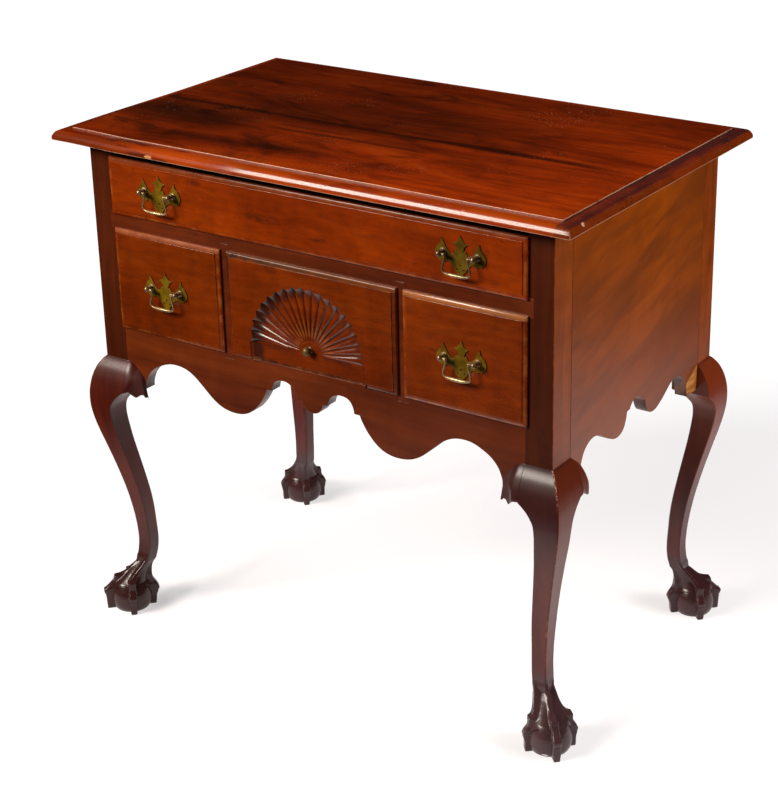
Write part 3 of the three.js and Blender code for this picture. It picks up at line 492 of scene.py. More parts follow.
def wood(name, cols, axis=0, seed=0.0, tilt=0.0, rough=0.34, spread=0.08, coat=0.2, figure=1.0,
         ripple=0.25, pore=0.55, fibre=0.5, streak=0.95, run=4.0, wear_and_highlight_col=(0.30, 0.11, 0.04), wear_and_highlight_amt=0.6, wear_and_highlight_lo=0.40, wave_amt=1.0,
         grime_and_shade_col=(0.012, 0.004, 0.003), grime_and_shade_amt=0.75, specks=0.0, bump=1.0, spec=0.5, coat_rough=0.16,
         gloss=None, matte=None, extra=None):
    """Figured cabinet wood: cols = dark, middle, light (linear). axis is the
    direction of the grain; tilt turns it in its plane, in degrees."""
    g = Nodes(name)
    tc, xyz = g.coords()
    order = {0: (0, 1, 2), 1: (1, 0, 2), 2: (2, 0, 1)}[axis]
    a, b, c = (xyz[k] for k in order)
    if tilt:
        ct, st = math.cos(math.radians(tilt)), math.sin(math.radians(tilt))
        a, c = (g.math("ADD", g.math("MULTIPLY", a, ct), g.math("MULTIPLY", c, st)),
                g.math("SUBTRACT", g.math("MULTIPLY", c, ct), g.math("MULTIPLY", a, st)))
    v = g.vec(g.math("ADD", a, seed), g.math("ADD", b, seed * 0.37), g.math("ADD", c, seed * 1.7))
    # the grain wanders
    bend = g.new("ShaderNodeTexNoise")
    g.put(bend.inputs["Vector"], g.scaled(v, (2.2, 5.0, 5.0)))
    bend.inputs["Scale"].default_value = 1.0
    bend.inputs["Detail"].default_value = 2.0
    off = g.scaled(g.vmath("SUBTRACT", bend.outputs["Color"], (0.5, 0.5, 0.5)), (0.0, 0.05, 0.05))
    w = g.vmath("ADD", v, off)
    n1 = g.noise(g.scaled(w, (2.2, 9.0, 9.0)), 1.0, 4.0, 0.55, 1.1)
    n2 = g.noise(g.scaled(w, (run, 95.0, 95.0)), 1.0, 5.0, 0.62, 0.2)
    n3 = g.noise(g.scaled(w, (30.0, 800.0, 800.0)), 1.0, 3.0, 0.6)
    n4 = g.noise(g.scaled(v, (34.0, 9.0, 9.0)), 1.0, 2.0, 0.55, 0.5)
    n5 = g.noise(g.scaled(v, (5.0, 7.0, 7.0)), 1.0, 3.0, 0.6)
    f = g.math("ADD", g.math("MULTIPLY", g.math("SUBTRACT", n1, 0.5), 1.5 * figure),
               g.math("MULTIPLY", g.math("SUBTRACT", n2, 0.5), streak))
    f = g.math("ADD", f, g.math("MULTIPLY", g.math("SUBTRACT", n3, 0.5), 0.35 * fibre))
    f = g.math("ADD", f, 0.5)
    col = g.ramp(f, [(0.12, cols[0]), (0.5, cols[1]), (0.88, cols[2])])
    # cross figure and blotches of old polish
    gain = g.math("ADD", 1.0, g.math("MULTIPLY", g.math("SUBTRACT", n4, 0.5), 1.6 * ripple))
    gain = g.math("MULTIPLY", gain, g.remap(n5, 0.25, 0.75, 0.84, 1.13))
    col = g.mix(1.0, col, g.vec(gain, gain, gain), "MULTIPLY")
    # open pores, filled dark
    pm = g.noise(g.scaled(w, (170.0, 2100.0, 2100.0)), 1.0, 1.0, 0.5)
    pores = g.remap(pm, 0.63, 0.72)
    col = g.mix(g.math("MULTIPLY", pores, 0.55 * pore), col, tuple(x * 0.25 for x in cols[0]))
    # small dark flecks
    fl = g.noise(g.scaled(w, (55.0, 260.0, 260.0)), 1.0, 2.0, 0.6, 0.6)
    col = g.mix(g.math("MULTIPLY", g.remap(fl, 0.66, 0.76), 0.45), col, tuple(x * 0.45 for x in cols[0]))
    if extra:
        col = extra(g, xyz, col, v)
    # soiling and painted shade in the hollows; rubbed arrises, on the top board's fillet a painted highlight
    gn = g.noise(g.scaled(tc, (90, 90, 90)), 1.0, 3.0, 0.6)
    gr = g.math("MULTIPLY", g.attr("grime_and_shade"), g.math("MULTIPLY", g.remap(gn, 0.25, 0.7, 0.70, 1.0), grime_and_shade_amt))
    col = g.mix(gr, col, grime_and_shade_col)
    wn = g.noise(g.scaled(tc, (60, 60, 60)), 1.0, 4.0, 0.65)
    wr = g.math("MULTIPLY", g.attr("wear_and_highlight"), g.math("MULTIPLY", g.remap(wn, wear_and_highlight_lo, wear_and_highlight_lo + 0.24), wear_and_highlight_amt))
    col = g.mix(wr, col, wear_and_highlight_col)
    if specks:
        sp = g.noise(g.scaled(tc, (420, 420, 420)), 1.0, 0.0, 0.5)
        sm = g.noise(g.scaled(tc, (9, 9, 9)), 1.0, 2.0, 0.5)
        sk = g.math("MULTIPLY", g.remap(sp, 0.765, 0.79), g.remap(sm, 0.55, 0.70, 0.0, specks))
        col = g.mix(sk, col, (0.75, 0.5, 0.36))
    p = g.bsdf
    g.put(p.inputs["Base Color"], col)
    r = g.math("ADD", rough, g.math("MULTIPLY", g.math("SUBTRACT", n5, 0.5), 2.2 * spread))
    r = g.math("ADD", r, g.math("MULTIPLY", g.math("SUBTRACT", n2, 0.5), spread))
    r = g.math("ADD", r, g.math("MULTIPLY", pores, 0.12))
    r = g.math("ADD", r, g.math("MULTIPLY", gr, 0.08))
    if gloss:
        r = g.math("ADD", r, gloss(g, xyz))
    p.inputs["Specular IOR Level"].default_value = spec
    if matte:
        g.put(p.inputs["Specular IOR Level"], g.math("MULTIPLY", g.math("SUBTRACT", 1.0, matte(g, xyz)), spec))
    g.put(p.inputs["Roughness"], g.math("MINIMUM", g.math("MAXIMUM", r, 0.12), 0.95))
    p.inputs["Coat Weight"].default_value = coat
    p.inputs["Coat Roughness"].default_value = coat_rough
    p.inputs["Coat IOR"].default_value = 1.5
    p.inputs["IOR"].default_value = 1.45
    h = g.math("ADD", g.math("MULTIPLY", n3, 0.25), g.math("MULTIPLY", pores, -0.5))
    wave = g.noise(g.scaled(v, (9.0, 26.0, 26.0)), 1.0, 2.0, 0.5)
    bp = g.new("ShaderNodeBump")
    bp.inputs["Strength"].default_value = 0.35 * bump
    bp.inputs["Distance"].default_value = 0.00012
    g.put(bp.inputs["Height"], h)
    bw = g.new("ShaderNodeBump")
    bw.inputs["Strength"].default_value = 0.6 * bump
    bw.inputs["Distance"].default_value = 0.0009 * wave_amt
    g.put(bw.inputs["Height"], wave)
    g.put(bw.inputs["Normal"], bp.outputs[0])
    g.put(p.inputs["Normal"], bw.outputs[0])
    return g.mat


def brass(name, seed, cols, metal, rough, coat=0.6, spec=0.5):
    g = Nodes(name)
    tc, xyz = g.coords()
    v = g.vmath("ADD", tc, (seed, seed * 0.7, -seed))
    n1 = g.noise(g.scaled(v, (75, 75, 75)), 1.0, 3.0, 0.55)
    n2 = g.noise(g.scaled(v, (700, 700, 700)), 1.0, 3.0, 0.6)
    n3 = g.noise(g.scaled(v, (34, 34, 34)), 1.0, 2.0, 0.5)
    f = g.math("ADD", g.math("MULTIPLY", n1, 0.6), g.math("MULTIPLY", n3, 0.4))
    col = g.ramp(f, [(0.3, cols[0]), (0.5, cols[1]), (0.72, cols[2])])
    # soiling and painted shade in the hollows
    gr = g.math("MULTIPLY", g.attr("grime_and_shade"), g.remap(n1, 0.3, 0.7, 0.5, 0.95))
    col = g.mix(gr, col, (0.045, 0.026, 0.010))
    wr = g.math("MULTIPLY", g.attr("wear_and_highlight"), 0.55)
    col = g.mix(wr, col, (0.86, 0.66, 0.27))
    # the brass at the long front's right end is painted darker
    k = g.math("SUBTRACT", 1.0, g.math("MULTIPLY", g.remap(xyz[0], 0.05, 0.15, 0.0, 0.32), g.remap(xyz[2], 0.625, 0.640)))
    col = g.mix(1.0, col, g.vec(k, k, k), "MULTIPLY")
    p = g.bsdf
    g.put(p.inputs["Base Color"], col)
    g.put(p.inputs["Metallic"], g.math("SUBTRACT", metal, g.math("MULTIPLY", gr, metal * 0.5)))
    p.inputs["Coat Weight"].default_value = coat
    p.inputs["Specular IOR Level"].default_value = spec
    p.inputs["Coat Roughness"].default_value = 0.14
    r = g.math("ADD", rough, g.math("MULTIPLY", g.math("SUBTRACT", n1, 0.5), 0.25))
    g.put(p.inputs["Roughness"], g.math("ADD", r, g.math("MULTIPLY", gr, 0.3)))
    bp = g.new("ShaderNodeBump")
    bp.inputs["Strength"].default_value = 0.25
    bp.inputs["Distance"].default_value = 0.00005
    g.put(bp.inputs["Height"], g.math("ADD", g.math("MULTIPLY", n2, 0.4), n1))
    g.put(p.inputs["Normal"], bp.outputs[0])
    return g.mat


def stroke(g, xyz, v, x0, x1, y0, y1, width, fade, amp=0.010, freq=9.0):
    """Soft streak along x between two ends, its edges wandering."""
    n = g.noise(g.scaled(v, (freq, freq * 4, freq * 4)), 1.0, 3.0, 0.6, 0.4)
    k = (y1 - y0) / (x1 - x0)
    line = g.math("ADD", g.math("MULTIPLY", g.math("SUBTRACT", xyz[0], x0), k), y0)
    d = g.math("ABSOLUTE", g.math("ADD", g.math("SUBTRACT", xyz[1], line), g.math("MULTIPLY", g.math("SUBTRACT", n, 0.5), 2 * amp)))
    m = g.remap(d, 0.1 * width, width, 1.0, 0.0)
    m = g.math("MULTIPLY", m, g.remap(xyz[0], x0 - fade, x0 + fade))
    return g.math("MULTIPLY", m, g.remap(xyz[0], x1 - fade, x1 + fade, 1.0, 0.0))


# deep red brown top: flame figure and dark streaks, painted light that makes it
# bright toward the right front and dark toward the left rear, and the glue line between its boards
def top_extra(g, xyz, col, v):
    flat = g.remap(xyz[2], 0.7600, 0.7610)
    # painted light fall-off: the flat is brighter toward the right front and darker toward the left rear
    light = g.remap(g.math("SUBTRACT", xyz[0], g.math("MULTIPLY", xyz[1], 1.6)), -0.45, 0.55, 0.52, 1.14)
    col = g.mix(flat, col, g.mix(1.0, col, g.vec(light, light, light), "MULTIPLY"))
    n = g.noise(g.scaled(v, (7.0, 16.0, 16.0)), 1.0, 4.0, 0.62, 1.6)
    flame = g.math("MULTIPLY", g.remap(n, 0.44, 0.70), g.remap(xyz[0], -0.20, 0.30, 0.78, 0.34))
    col = g.mix(g.math("MULTIPLY", flat, flame), col, (0.026, 0.004, 0.001))
    dark = None
    for args, amt in (((-0.40, 0.34, -0.032, -0.027, 0.013, 0.05), 0.80), ((-0.17, 0.10, -0.089, -0.083, 0.010, 0.04, 0.005), 0.70),
                      ((-0.17, -0.03, -0.070, -0.066, 0.008, 0.03, 0.004), 0.60), ((-0.42, -0.19, -0.085, -0.100, 0.080, 0.06, 0.02), 0.84),
                      ((-0.30, -0.05, -0.185, -0.160, 0.034, 0.05, 0.02), 0.62), ((-0.06, 0.14, -0.005, 0.045, 0.026, 0.05, 0.014), 0.55),
                      ((-0.32, -0.20, 0.045, 0.005, 0.022, 0.04, 0.012), 0.50), ((-0.16, 0.04, 0.140, 0.090, 0.034, 0.05, 0.02), 0.42),
                      ((0.08, 0.20, 0.060, 0.100, 0.020, 0.04, 0.012), 0.35), ((-0.26, 0.12, -0.02, 0.03, 0.12, 0.08, 0.03), 0.55),
                      ((-0.04, 0.13, -0.078, -0.066, 0.030, 0.05, 0.010), 0.45)):
        m = g.math("MULTIPLY", stroke(g, xyz, v, *args), amt)
        dark = m if dark is None else g.math("MAXIMUM", dark, m)
    col = g.mix(g.math("MULTIPLY", flat, dark), col, (0.018, 0.0035, 0.001))
    # lively figure on the front moulding
    fm = g.math("MULTIPLY", g.remap(xyz[1], -0.2360, -0.2380), g.remap(xyz[2], 0.7602, 0.7598))
    fq = g.noise(g.scaled(v, (11.0, 45.0, 90.0)), 1.0, 3.0, 0.55, 0.9)
    along = g.remap(xyz[0], -0.38, -0.24, 0.25, 0.80)
    col = g.mix(g.math("MULTIPLY", fm, g.math("MULTIPLY", along, g.remap(fq, 0.42, 0.60))), col, (0.34, 0.046, 0.0006))
    col = g.mix(g.math("MULTIPLY", fm, g.math("MULTIPLY", g.remap(xyz[0], 0.10, -0.10, 0.25, 1.0), g.remap(fq, 0.50, 0.38, 0.0, 0.80))), col,
                (0.062, 0.0080, 0.0006))
    col = g.mix(g.math("MULTIPLY", fm, g.remap(xyz[0], -0.20, -0.36, 0.0, 0.55)), col, (0.070, 0.010, 0.001))
    # painted shade in a dark purplish band along the right end above the ovolo, the ovolo at that end darker, and
    # chips down to bare wood
    gn = g.noise(g.scaled(v, (60.0, 9.0, 60.0)), 1.0, 3.0, 0.6)
    end = g.math("MULTIPLY", g.remap(xyz[0], 0.3935, 0.3955), g.remap(xyz[2], 0.7560, 0.7575))
    end = g.math("MULTIPLY", end, g.remap(gn, 0.3, 0.6, 0.55, 1.0))
    col = g.mix(g.math("MULTIPLY", end, 0.85), col, (0.030, 0.010, 0.012))
    nose = g.math("MULTIPLY", g.remap(xyz[0], 0.3935, 0.3955), g.remap(xyz[2], 0.7575, 0.7560))
    col = g.mix(g.math("MULTIPLY", nose, 0.6), col, (0.085, 0.018, 0.002))
    cn = g.math("MULTIPLY", g.math("SUBTRACT", g.noise(tc_scaled(g, xyz, 420.0), 1.0, 2.0, 0.6), 0.5), 0.9)
    for c, rad, tone in (((0.4165, -0.2219, 0.7570), (None, 0.0030, 0.0042), (0.62, 0.36, 0.27)),
                         ((-0.2405, -0.2575, 0.7487), (0.0060, None, 0.0022), (0.70, 0.30, 0.10)),
                         ((0.2648, -0.2575, 0.7560), (0.0022, None, 0.0022), (0.40, 0.12, 0.06))):
        m = near(g, (g.math("ADD", xyz[0], g.math("MULTIPLY", cn, 0.004)), xyz[1], xyz[2]), c, rad, 0.35)
        m = g.math("MULTIPLY", m, g.remap(xyz[0] if rad[0] is None else xyz[1], *( (0.4120, 0.4140) if rad[0] is None else (-0.2520, -0.2545))))
        col = g.mix(m, col, tone)
    seam = g.math("MULTIPLY", near(g, xyz, (0, -0.0315, 0), (None, 0.0007, None), 0.6), flat)
    return g.mix(g.math("MULTIPLY", seam, 0.8), col, (0.010, 0.003, 0.002))


def top_gloss(g, xyz):
    """The moulding has a softer shine than the flat, worn dull at its left end."""
    dull = g.math("MULTIPLY", g.remap(xyz[0], -0.070, -0.150, 0.04, 0.66), g.remap(xyz[1], -0.2300, -0.2360))
    return g.math("MULTIPLY", g.math("MAXIMUM", dull, 0.04), g.remap(xyz[2], 0.7602, 0.7596))


def top_matte(g, xyz):
    """The worn polish at the moulding's left end throws back little light."""
    m = g.math("MULTIPLY", g.remap(xyz[0], -0.070, -0.160, 0.0, 0.85), g.remap(xyz[1], -0.2300, -0.2360))
    return g.math("MULTIPLY", m, g.remap(xyz[2], 0.7602, 0.7596))


def tc_scaled(g, xyz, k):
    return g.scaled(g.vec(*xyz), (k, k, k))


def side_extra(g, xyz, col, v):
    # broad soft shading along the board and faint ripples slanting to the rear
    w = g.vec(g.math("MULTIPLY", xyz[1], 5.0), xyz[0], g.math("ADD", g.math("MULTIPLY", xyz[2], 22.0), g.math("MULTIPLY", xyz[1], -3.0)))
    n = g.noise(w, 1.0, 2.0, 0.5, 0.3)
    col = g.mix(g.remap(n, 0.46, 0.66, 0.0, 0.55), col, (0.115, 0.026, 0.004))
    w2 = g.vec(g.math("ADD", g.math("MULTIPLY", xyz[1], 9.0), g.math("MULTIPLY", xyz[2], 4.0)), xyz[0],
               g.math("ADD", g.math("MULTIPLY", xyz[2], 62.0), g.math("MULTIPLY", xyz[1], -26.0)))
    n2 = g.noise(w2, 1.0, 2.0, 0.5, 0.2)
    col = g.mix(g.remap(n2, 0.48, 0.72, 0.0, 0.32), col, (0.10, 0.022, 0.005))
    rear = g.remap(xyz[1], 0.02, 0.19, 0.0, 0.35)
    col = g.mix(rear, col, (0.135, 0.028, 0.006))
    # painted shade and floor reflection: the lower part of the board darker and more purple
    low = g.remap(xyz[2], 0.60, 0.44, 0.0, 0.45)
    return g.mix(low, col, (0.165, 0.036, 0.012))


def lip_mask(g, xyz, z1):
    """The moulded lip along a front's upper edge."""
    return g.math("MULTIPLY", g.remap(xyz[2], z1 - 0.0066, z1 - 0.0060), g.remap(xyz[1], CASE_Y0 * MM - 0.0064, CASE_Y0 * MM - 0.0058))


def lip_gloss(z1, amt):
    return lambda g, xyz: g.math("MULTIPLY", lip_mask(g, xyz, z1), amt)


def tails(g, xyz, col, v, k):
    """The ends of a front's body show the tails of the pale drawer sides."""
    ox0, ox1, oz0, oz1 = DRAWERS[k]["open"]
    z0, z1 = (oz0 + RUN_CLEAR) * MM, (oz1 - TOP_CLEAR) * MM
    ends = None
    for x, s in (((ox0 + SIDE_CLEAR) * MM, 1), ((ox1 - SIDE_CLEAR) * MM, -1)):
        m = g.remap(xyz[0], x + s * 0.0004, x + s * 0.0003)
        ends = m if ends is None else g.math("MAXIMUM", ends, m)
    lap = (CASE_Y0 + 3.0) * MM
    ends = g.math("MULTIPLY", ends, g.remap(xyz[1], lap, lap + 0.0003))
    ends = g.math("MULTIPLY", ends, g.remap(xyz[1], FRONT_IN * MM + 0.0004, FRONT_IN * MM + 0.0003))
    pitch = (z1 - z0) / (3 if k == "long" else 5)
    part = g.math("FRACT", g.math("DIVIDE", g.math("SUBTRACT", xyz[2], z0), pitch))
    off = g.math("MULTIPLY", g.math("ABSOLUTE", g.math("SUBTRACT", part, 0.5)), pitch)
    half = g.math("SUBTRACT", 0.42 * pitch, g.math("MULTIPLY", g.math("SUBTRACT", xyz[1], lap), 0.17))
    d = g.math("SUBTRACT", off, half)
    pale = g.ramp(g.noise(g.scaled(v, (40.0, 60.0, 300.0)), 1.0, 3.0, 0.6), [(0.3, PINE[0]), (0.7, PINE[1])])
    col = g.mix(g.math("MULTIPLY", ends, g.remap(d, 0.0002, -0.0002)), col, pale)
    joint = g.remap(g.math("ABSOLUTE", d), 0.0002, 0.0005, 0.8, 0.0)
    return g.mix(g.math("MULTIPLY", ends, joint), col, (0.020, 0.010, 0.005))


def front_extra(spots, z1, tone, amt, k_name):
    def extra(g, xyz, col, v):
        # knots and flecks
        n = g.noise(g.scaled(v, (60.0, 150.0, 200.0)), 1.0, 3.0, 0.65, 0.6)
        tot = None
        for x, z, rx, rz, amt in spots:
            m = g.math("MULTIPLY", near(g, xyz, (x, 0, z), (rx, None, rz), 0.9), g.math("MULTIPLY", g.remap(n, 0.40, 0.60, 0.25, 1.0), amt))
            tot = m if tot is None else g.math("MAXIMUM", tot, m)
        col = g.mix(tot, col, (0.035, 0.007, 0.002))
        # mottled old varnish
        q = g.noise(g.scaled(v, (26.0, 60.0, 60.0)), 1.0, 4.0, 0.65, 0.8)
        k = g.remap(q, 0.3, 0.7, 0.84, 1.14)
        col = g.mix(1.0, col, g.vec(k, k, k), "MULTIPLY")
        # painted highlight: the moulded lip along the upper edge is drawn toward a light, warm tone
        col = g.mix(g.math("MULTIPLY", lip_mask(g, xyz, z1), amt), col, tone)
        return tails(g, xyz, col, v, k_name)
    return extra


def leg_gloss(g, xyz):
    """Shinier feet, duller tips of the knee blocks."""
    tip = g.math("MULTIPLY", g.remap(g.math("ABSOLUTE", xyz[0]), 0.326, 0.316, 0.0, 0.34), g.remap(xyz[2], 0.43, 0.42))
    return g.math("ADD", tip, g.remap(xyz[2], 0.118, 0.08, 0.0, -0.12))


def leg_extra(sx, sy):
    def extra(g, xyz, col, v):
        # painted light: the post's outer side is made much lighter, as a lit face, and its front duller, as a face in
        # shade, most on the right posts; the carved foot is nearly black
        ax = g.math("MULTIPLY", xyz[0], float(sx))
        post = g.remap(xyz[2], 0.4180, 0.4200)
        side = g.math("MULTIPLY", post, g.remap(ax, 0.3768, 0.3774))
        n = g.noise(g.scaled(v, (30.0, 30.0, 6.0)), 1.0, 3.0, 0.6)
        k = g.remap(n, 0.3, 0.7, 0.9, 1.1)
        painted_lit_side = g.mix(1.0, col, g.vec(g.math("MULTIPLY", k, 2.5), g.math("MULTIPLY", k, 3.2), g.math("MULTIPLY", k, 0.45)), "MULTIPLY")
        col = g.mix(side, col, painted_lit_side)
        dull = g.math("MULTIPLY", post, g.math("SUBTRACT", 1.0, side))
        q = 0.60 if sx > 0 else 0.78
        col = g.mix(dull, col, g.mix(1.0, col, (q, q * 1.0, q * 0.15), "MULTIPLY"))
        ay = g.math("MULTIPLY", xyz[1], float(sy))
        edge = 0.2243 if sy < 0 else 0.2323
        turn = g.remap(g.math("SUBTRACT", g.math("SUBTRACT", ax, 0.3776), g.math("SUBTRACT", ay, edge)), -0.003, 0.003)
        below = g.remap(xyz[2], 0.4200, 0.4180)
        front = g.math("MULTIPLY", below, g.math("MULTIPLY", g.math("SUBTRACT", 1.0, turn), g.remap(xyz[2], 0.22, 0.36, 0.15, 0.80 if sx > 0 else 0.50)))
        # painted shade: the legs' front faces darken toward the knee, the right legs more
        col = g.mix(front, col, (0.022, 0.005, 0.005))
        if (sx, sy) == (-1, -1):
            col = g.mix(g.math("MULTIPLY", below, g.remap(xyz[2], 0.12, 0.17)), col, g.mix(1.0, col, (1.38, 0.92, 0.45), "MULTIPLY"))
        chips = g.noise(tc_scaled(g, xyz, 210.0), 1.0, 3.0, 0.65)
        line = g.remap(g.math("ABSOLUTE", g.math("SUBTRACT", g.math("SUBTRACT", ax, 0.3776), g.math("SUBTRACT", ay, edge))), 0.0009, 0.0015, 1.0, 0.0)
        line = g.math("MULTIPLY", line, g.math("MULTIPLY", g.remap(xyz[2], 0.376, 0.392), g.remap(chips, 0.50, 0.56)))
        red = g.math("MULTIPLY", below, g.math("MULTIPLY", turn, g.remap(xyz[2], 0.12, 0.40, 0.0, 0.7)))
        col = g.mix(red, col, (0.122, 0.019, 0.004) if sy < 0 else (0.195, 0.030, 0.005))
        col = g.mix(g.math("MULTIPLY", line, below), col, (0.60, 0.42, 0.34))
        fade = g.math("MULTIPLY", g.math("SUBTRACT", n, 0.5), 0.02)
        foot = g.remap(g.math("ADD", xyz[2], fade), 0.132, 0.084, 0.0, 0.80)
        foot = g.math("MULTIPLY", foot, foot)
        foot = g.math("MULTIPLY", foot, 1.25)
        # the purple cast of these dark foot colours paints the floor's reflection
        col = g.mix(foot, col, {(1, -1): (0.054, 0.0310, 0.0370), (1, 1): (0.042, 0.0170, 0.0210),
                                (-1, -1): (0.033, 0.0120, 0.0105)}.get((sx, sy), (0.036, 0.0140, 0.0170)))
        if sx > 0 and sy < 0:
            chip = near(g, xyz, (0.3830, 0, 0.0042), (0.0042, None, 0.0017), 0.4)
            chip = g.math("MULTIPLY", chip, g.remap(xyz[1], -0.2400, -0.2440))
            col = g.mix(chip, col, (0.75, 0.66, 0.62))
        return col
    return extra


def back_extra(g, xyz, col, v):
    """Three boards, a little unlike each other, with open joints."""
    for z in (0.5235, 0.6350):
        col = g.mix(g.math("MULTIPLY", near(g, xyz, (0, 0, z), (None, None, 0.0009), 0.5), 0.85), col, (0.020, 0.010, 0.004))
    mid = g.math("MULTIPLY", g.remap(xyz[2], 0.5233, 0.5237), g.remap(xyz[2], 0.6352, 0.6348))
    return g.mix(g.math("MULTIPLY", mid, 0.22), col, (0.16, 0.075, 0.025))


def patch_extra(g, xyz, col, v):
    """The bare glue patch where the right rear knee block came off."""
    m = g.math("MULTIPLY", g.remap(xyz[0], 0.3765, 0.3770), g.remap(xyz[1], 0.1575, 0.1600))
    # upper boundary of the lost block
    t = g.math("ADD", g.math("MULTIPLY", g.math("SUBTRACT", xyz[1], 0.1583), 0.53), 0.4012)
    t2 = g.math("MINIMUM", t, 0.4185)
    up = g.remap(g.math("SUBTRACT", t2, xyz[2]), -0.0012, 0.0012)
    m = g.math("MULTIPLY", m, up)
    n = g.noise(g.scaled(v, (40.0, 260.0, 160.0)), 1.0, 4.0, 0.6, 0.4)
    raw = g.ramp(n, [(0.3, (0.10, 0.030, 0.008)), (0.5, (0.40, 0.15, 0.035)), (0.7, (0.62, 0.28, 0.08))])
    return g.mix(g.math("MULTIPLY", m, 0.92), side_extra(g, xyz, col, v), raw)


MAHOG = dict(
    top=((0.060, 0.0053, 0.0005), (0.276, 0.0262, 0.0009), (0.44, 0.056, 0.0025)),
    # the long front's wood is lighter than the other fronts: painted light, as the light falls brighter on the higher
    # drawer
    long=((0.125, 0.0125, 0.0003), (0.215, 0.0245, 0.0003), (0.30, 0.041, 0.0006)),
    front=((0.082, 0.0092, 0.0003), (0.142, 0.0180, 0.0003), (0.205, 0.032, 0.0006)),
    apron=((0.055, 0.0070, 0.0005), (0.094, 0.0130, 0.0007), (0.14, 0.022, 0.001)),
    side=((0.151, 0.026, 0.001), (0.262, 0.050, 0.001), (0.355, 0.076, 0.003)),
    leg=((0.042, 0.0062, 0.006), (0.082, 0.0120, 0.009), (0.130, 0.022, 0.013)),
)
PINE = ((0.235, 0.130, 0.050), (0.40, 0.245, 0.105), (0.52, 0.35, 0.17))
M = {}
# the top's pale colour on its rubbed arrises paints the highlight along the fillet's arris
M["top"] = wood("top_board_wood", MAHOG["top"], 0, 0.0, 0, rough=0.25, figure=0.8, ripple=0.15, streak=0.5, specks=0.6,
                wear_and_highlight_col=(0.68, 0.38, 0.25), wear_and_highlight_amt=0.78, wear_and_highlight_lo=0.24, coat=0.05, spec=0.48, coat_rough=0.22, gloss=top_gloss, matte=top_matte, extra=top_extra)
SPOTS = dict(long=[(-0.065, 0.682, 0.030, 0.006, 0.75), (0.030, 0.668, 0.026, 0.003, 0.6), (-0.185, 0.714, 0.012, 0.005, 0.6), (0.035, 0.703, 0.010, 0.004, 0.4),
                   (-0.30, 0.665, 0.02, 0.004, 0.3), (0.12, 0.69, 0.02, 0.003, 0.25), (0.29, 0.66, 0.012, 0.006, 0.3)],
             left=[(-0.270, 0.482, 0.014, 0.006, 0.6), (-0.232, 0.527, 0.014, 0.003, 0.55), (-0.19, 0.60, 0.01, 0.004, 0.3)],
             centre=[(0.105, 0.496, 0.014, 0.005, 0.35), (-0.06, 0.612, 0.012, 0.005, 0.4), (0.12, 0.56, 0.02, 0.003, 0.25)],
             right=[(0.235, 0.508, 0.022, 0.004, 0.35), (0.205, 0.551, 0.012, 0.003, 0.45), (0.30, 0.60, 0.012, 0.003, 0.3)])
# lip_highlight_tone and its amount paint a highlight on each front's upper lip
for k, s, lip_highlight_tone, lip_highlight_amt, lip_dull, coat, spec in (("long", 3.1, (0.30, 0.05, 0.002), 0.2, 0.06, 0.16, 0.45), ("left", 5.7, (0.36, 0.075, 0.004), 0.60, 0.40, 0.04, 0.40),
                                                      ("centre", 8.3, (0.60, 0.20, 0.032), 0.72, 0.04, 0.12, 0.48), ("right", 12.9, (0.62, 0.27, 0.09), 0.50, 0.0, 0.20, 0.5)):
    M[k] = wood(f"{k}_front_wood", MAHOG["long" if k == "long" else "front"], 0, s, 2.0 if k != "long" else -1.0, rough=0.25, spread=0.05, coat=coat, spec=spec, figure=0.7,
                ripple=0.3, streak=0.7, wear_and_highlight_col=(0.42, 0.13, 0.03), wear_and_highlight_amt=0.35, grime_and_shade_amt=0.97 if k == "centre" else 0.75,
                gloss=lip_gloss(DRAWERS[k]["lip"][3] * MM, lip_dull), extra=front_extra(SPOTS[k], DRAWERS[k]["lip"][3] * MM, lip_highlight_tone, lip_highlight_amt, k))
M["apron"] = wood("apron_wood", MAHOG["apron"], 0, 21.0, 0, grime_and_shade_amt=0.95, figure=0.9, ripple=0.25, wear_and_highlight_amt=0.4)
M["rail"] = wood("rail_wood", MAHOG["apron"], 0, 24.0, 0, figure=0.7, ripple=0.25, wear_and_highlight_amt=0.3)
# near-black wood for the top rail: painted shade under the top's overhang
M["rail_top"] = wood("painted_shade_rail_wood", ((0.003, 0.0012, 0.0008), (0.0075, 0.0022, 0.0010), (0.013, 0.004, 0.0015)), 0, 27.0, 0, rough=0.6, coat=0.0,
                     figure=0.7, ripple=0.25, spec=0.15, wear_and_highlight_amt=0.0)
M["side_left"] = wood("left_side_wood", MAHOG["side"], 1, 31.0, 4.0, coat=0.08, spec=0.42, figure=0.45, ripple=0.2, streak=0.45, wave_amt=0.4, extra=side_extra)
M["side_right"] = wood("right_side_wood", MAHOG["side"], 1, 37.0, 4.0, coat=0.08, spec=0.42, figure=0.45, ripple=0.2, streak=0.45, wave_amt=0.4, extra=patch_extra)
for k, s, sx, sy in (("leg_fl", 41.0, -1, -1), ("leg_fr", 43.0, 1, -1), ("leg_rl", 47.0, -1, 1), ("leg_rr", 53.0, 1, 1)):
    M[k] = wood(f"{k}_wood", MAHOG["leg"], 2, s, 0, rough=0.34, spread=0.05, coat=0.0, spec=0.38, figure=0.8, ripple=0.2, streak=0.7,
                gloss=leg_gloss,
                wear_and_highlight_col=(0.30, 0.085, 0.030), wear_and_highlight_amt=0.75, wear_and_highlight_lo=0.44, extra=leg_extra(sx, sy))
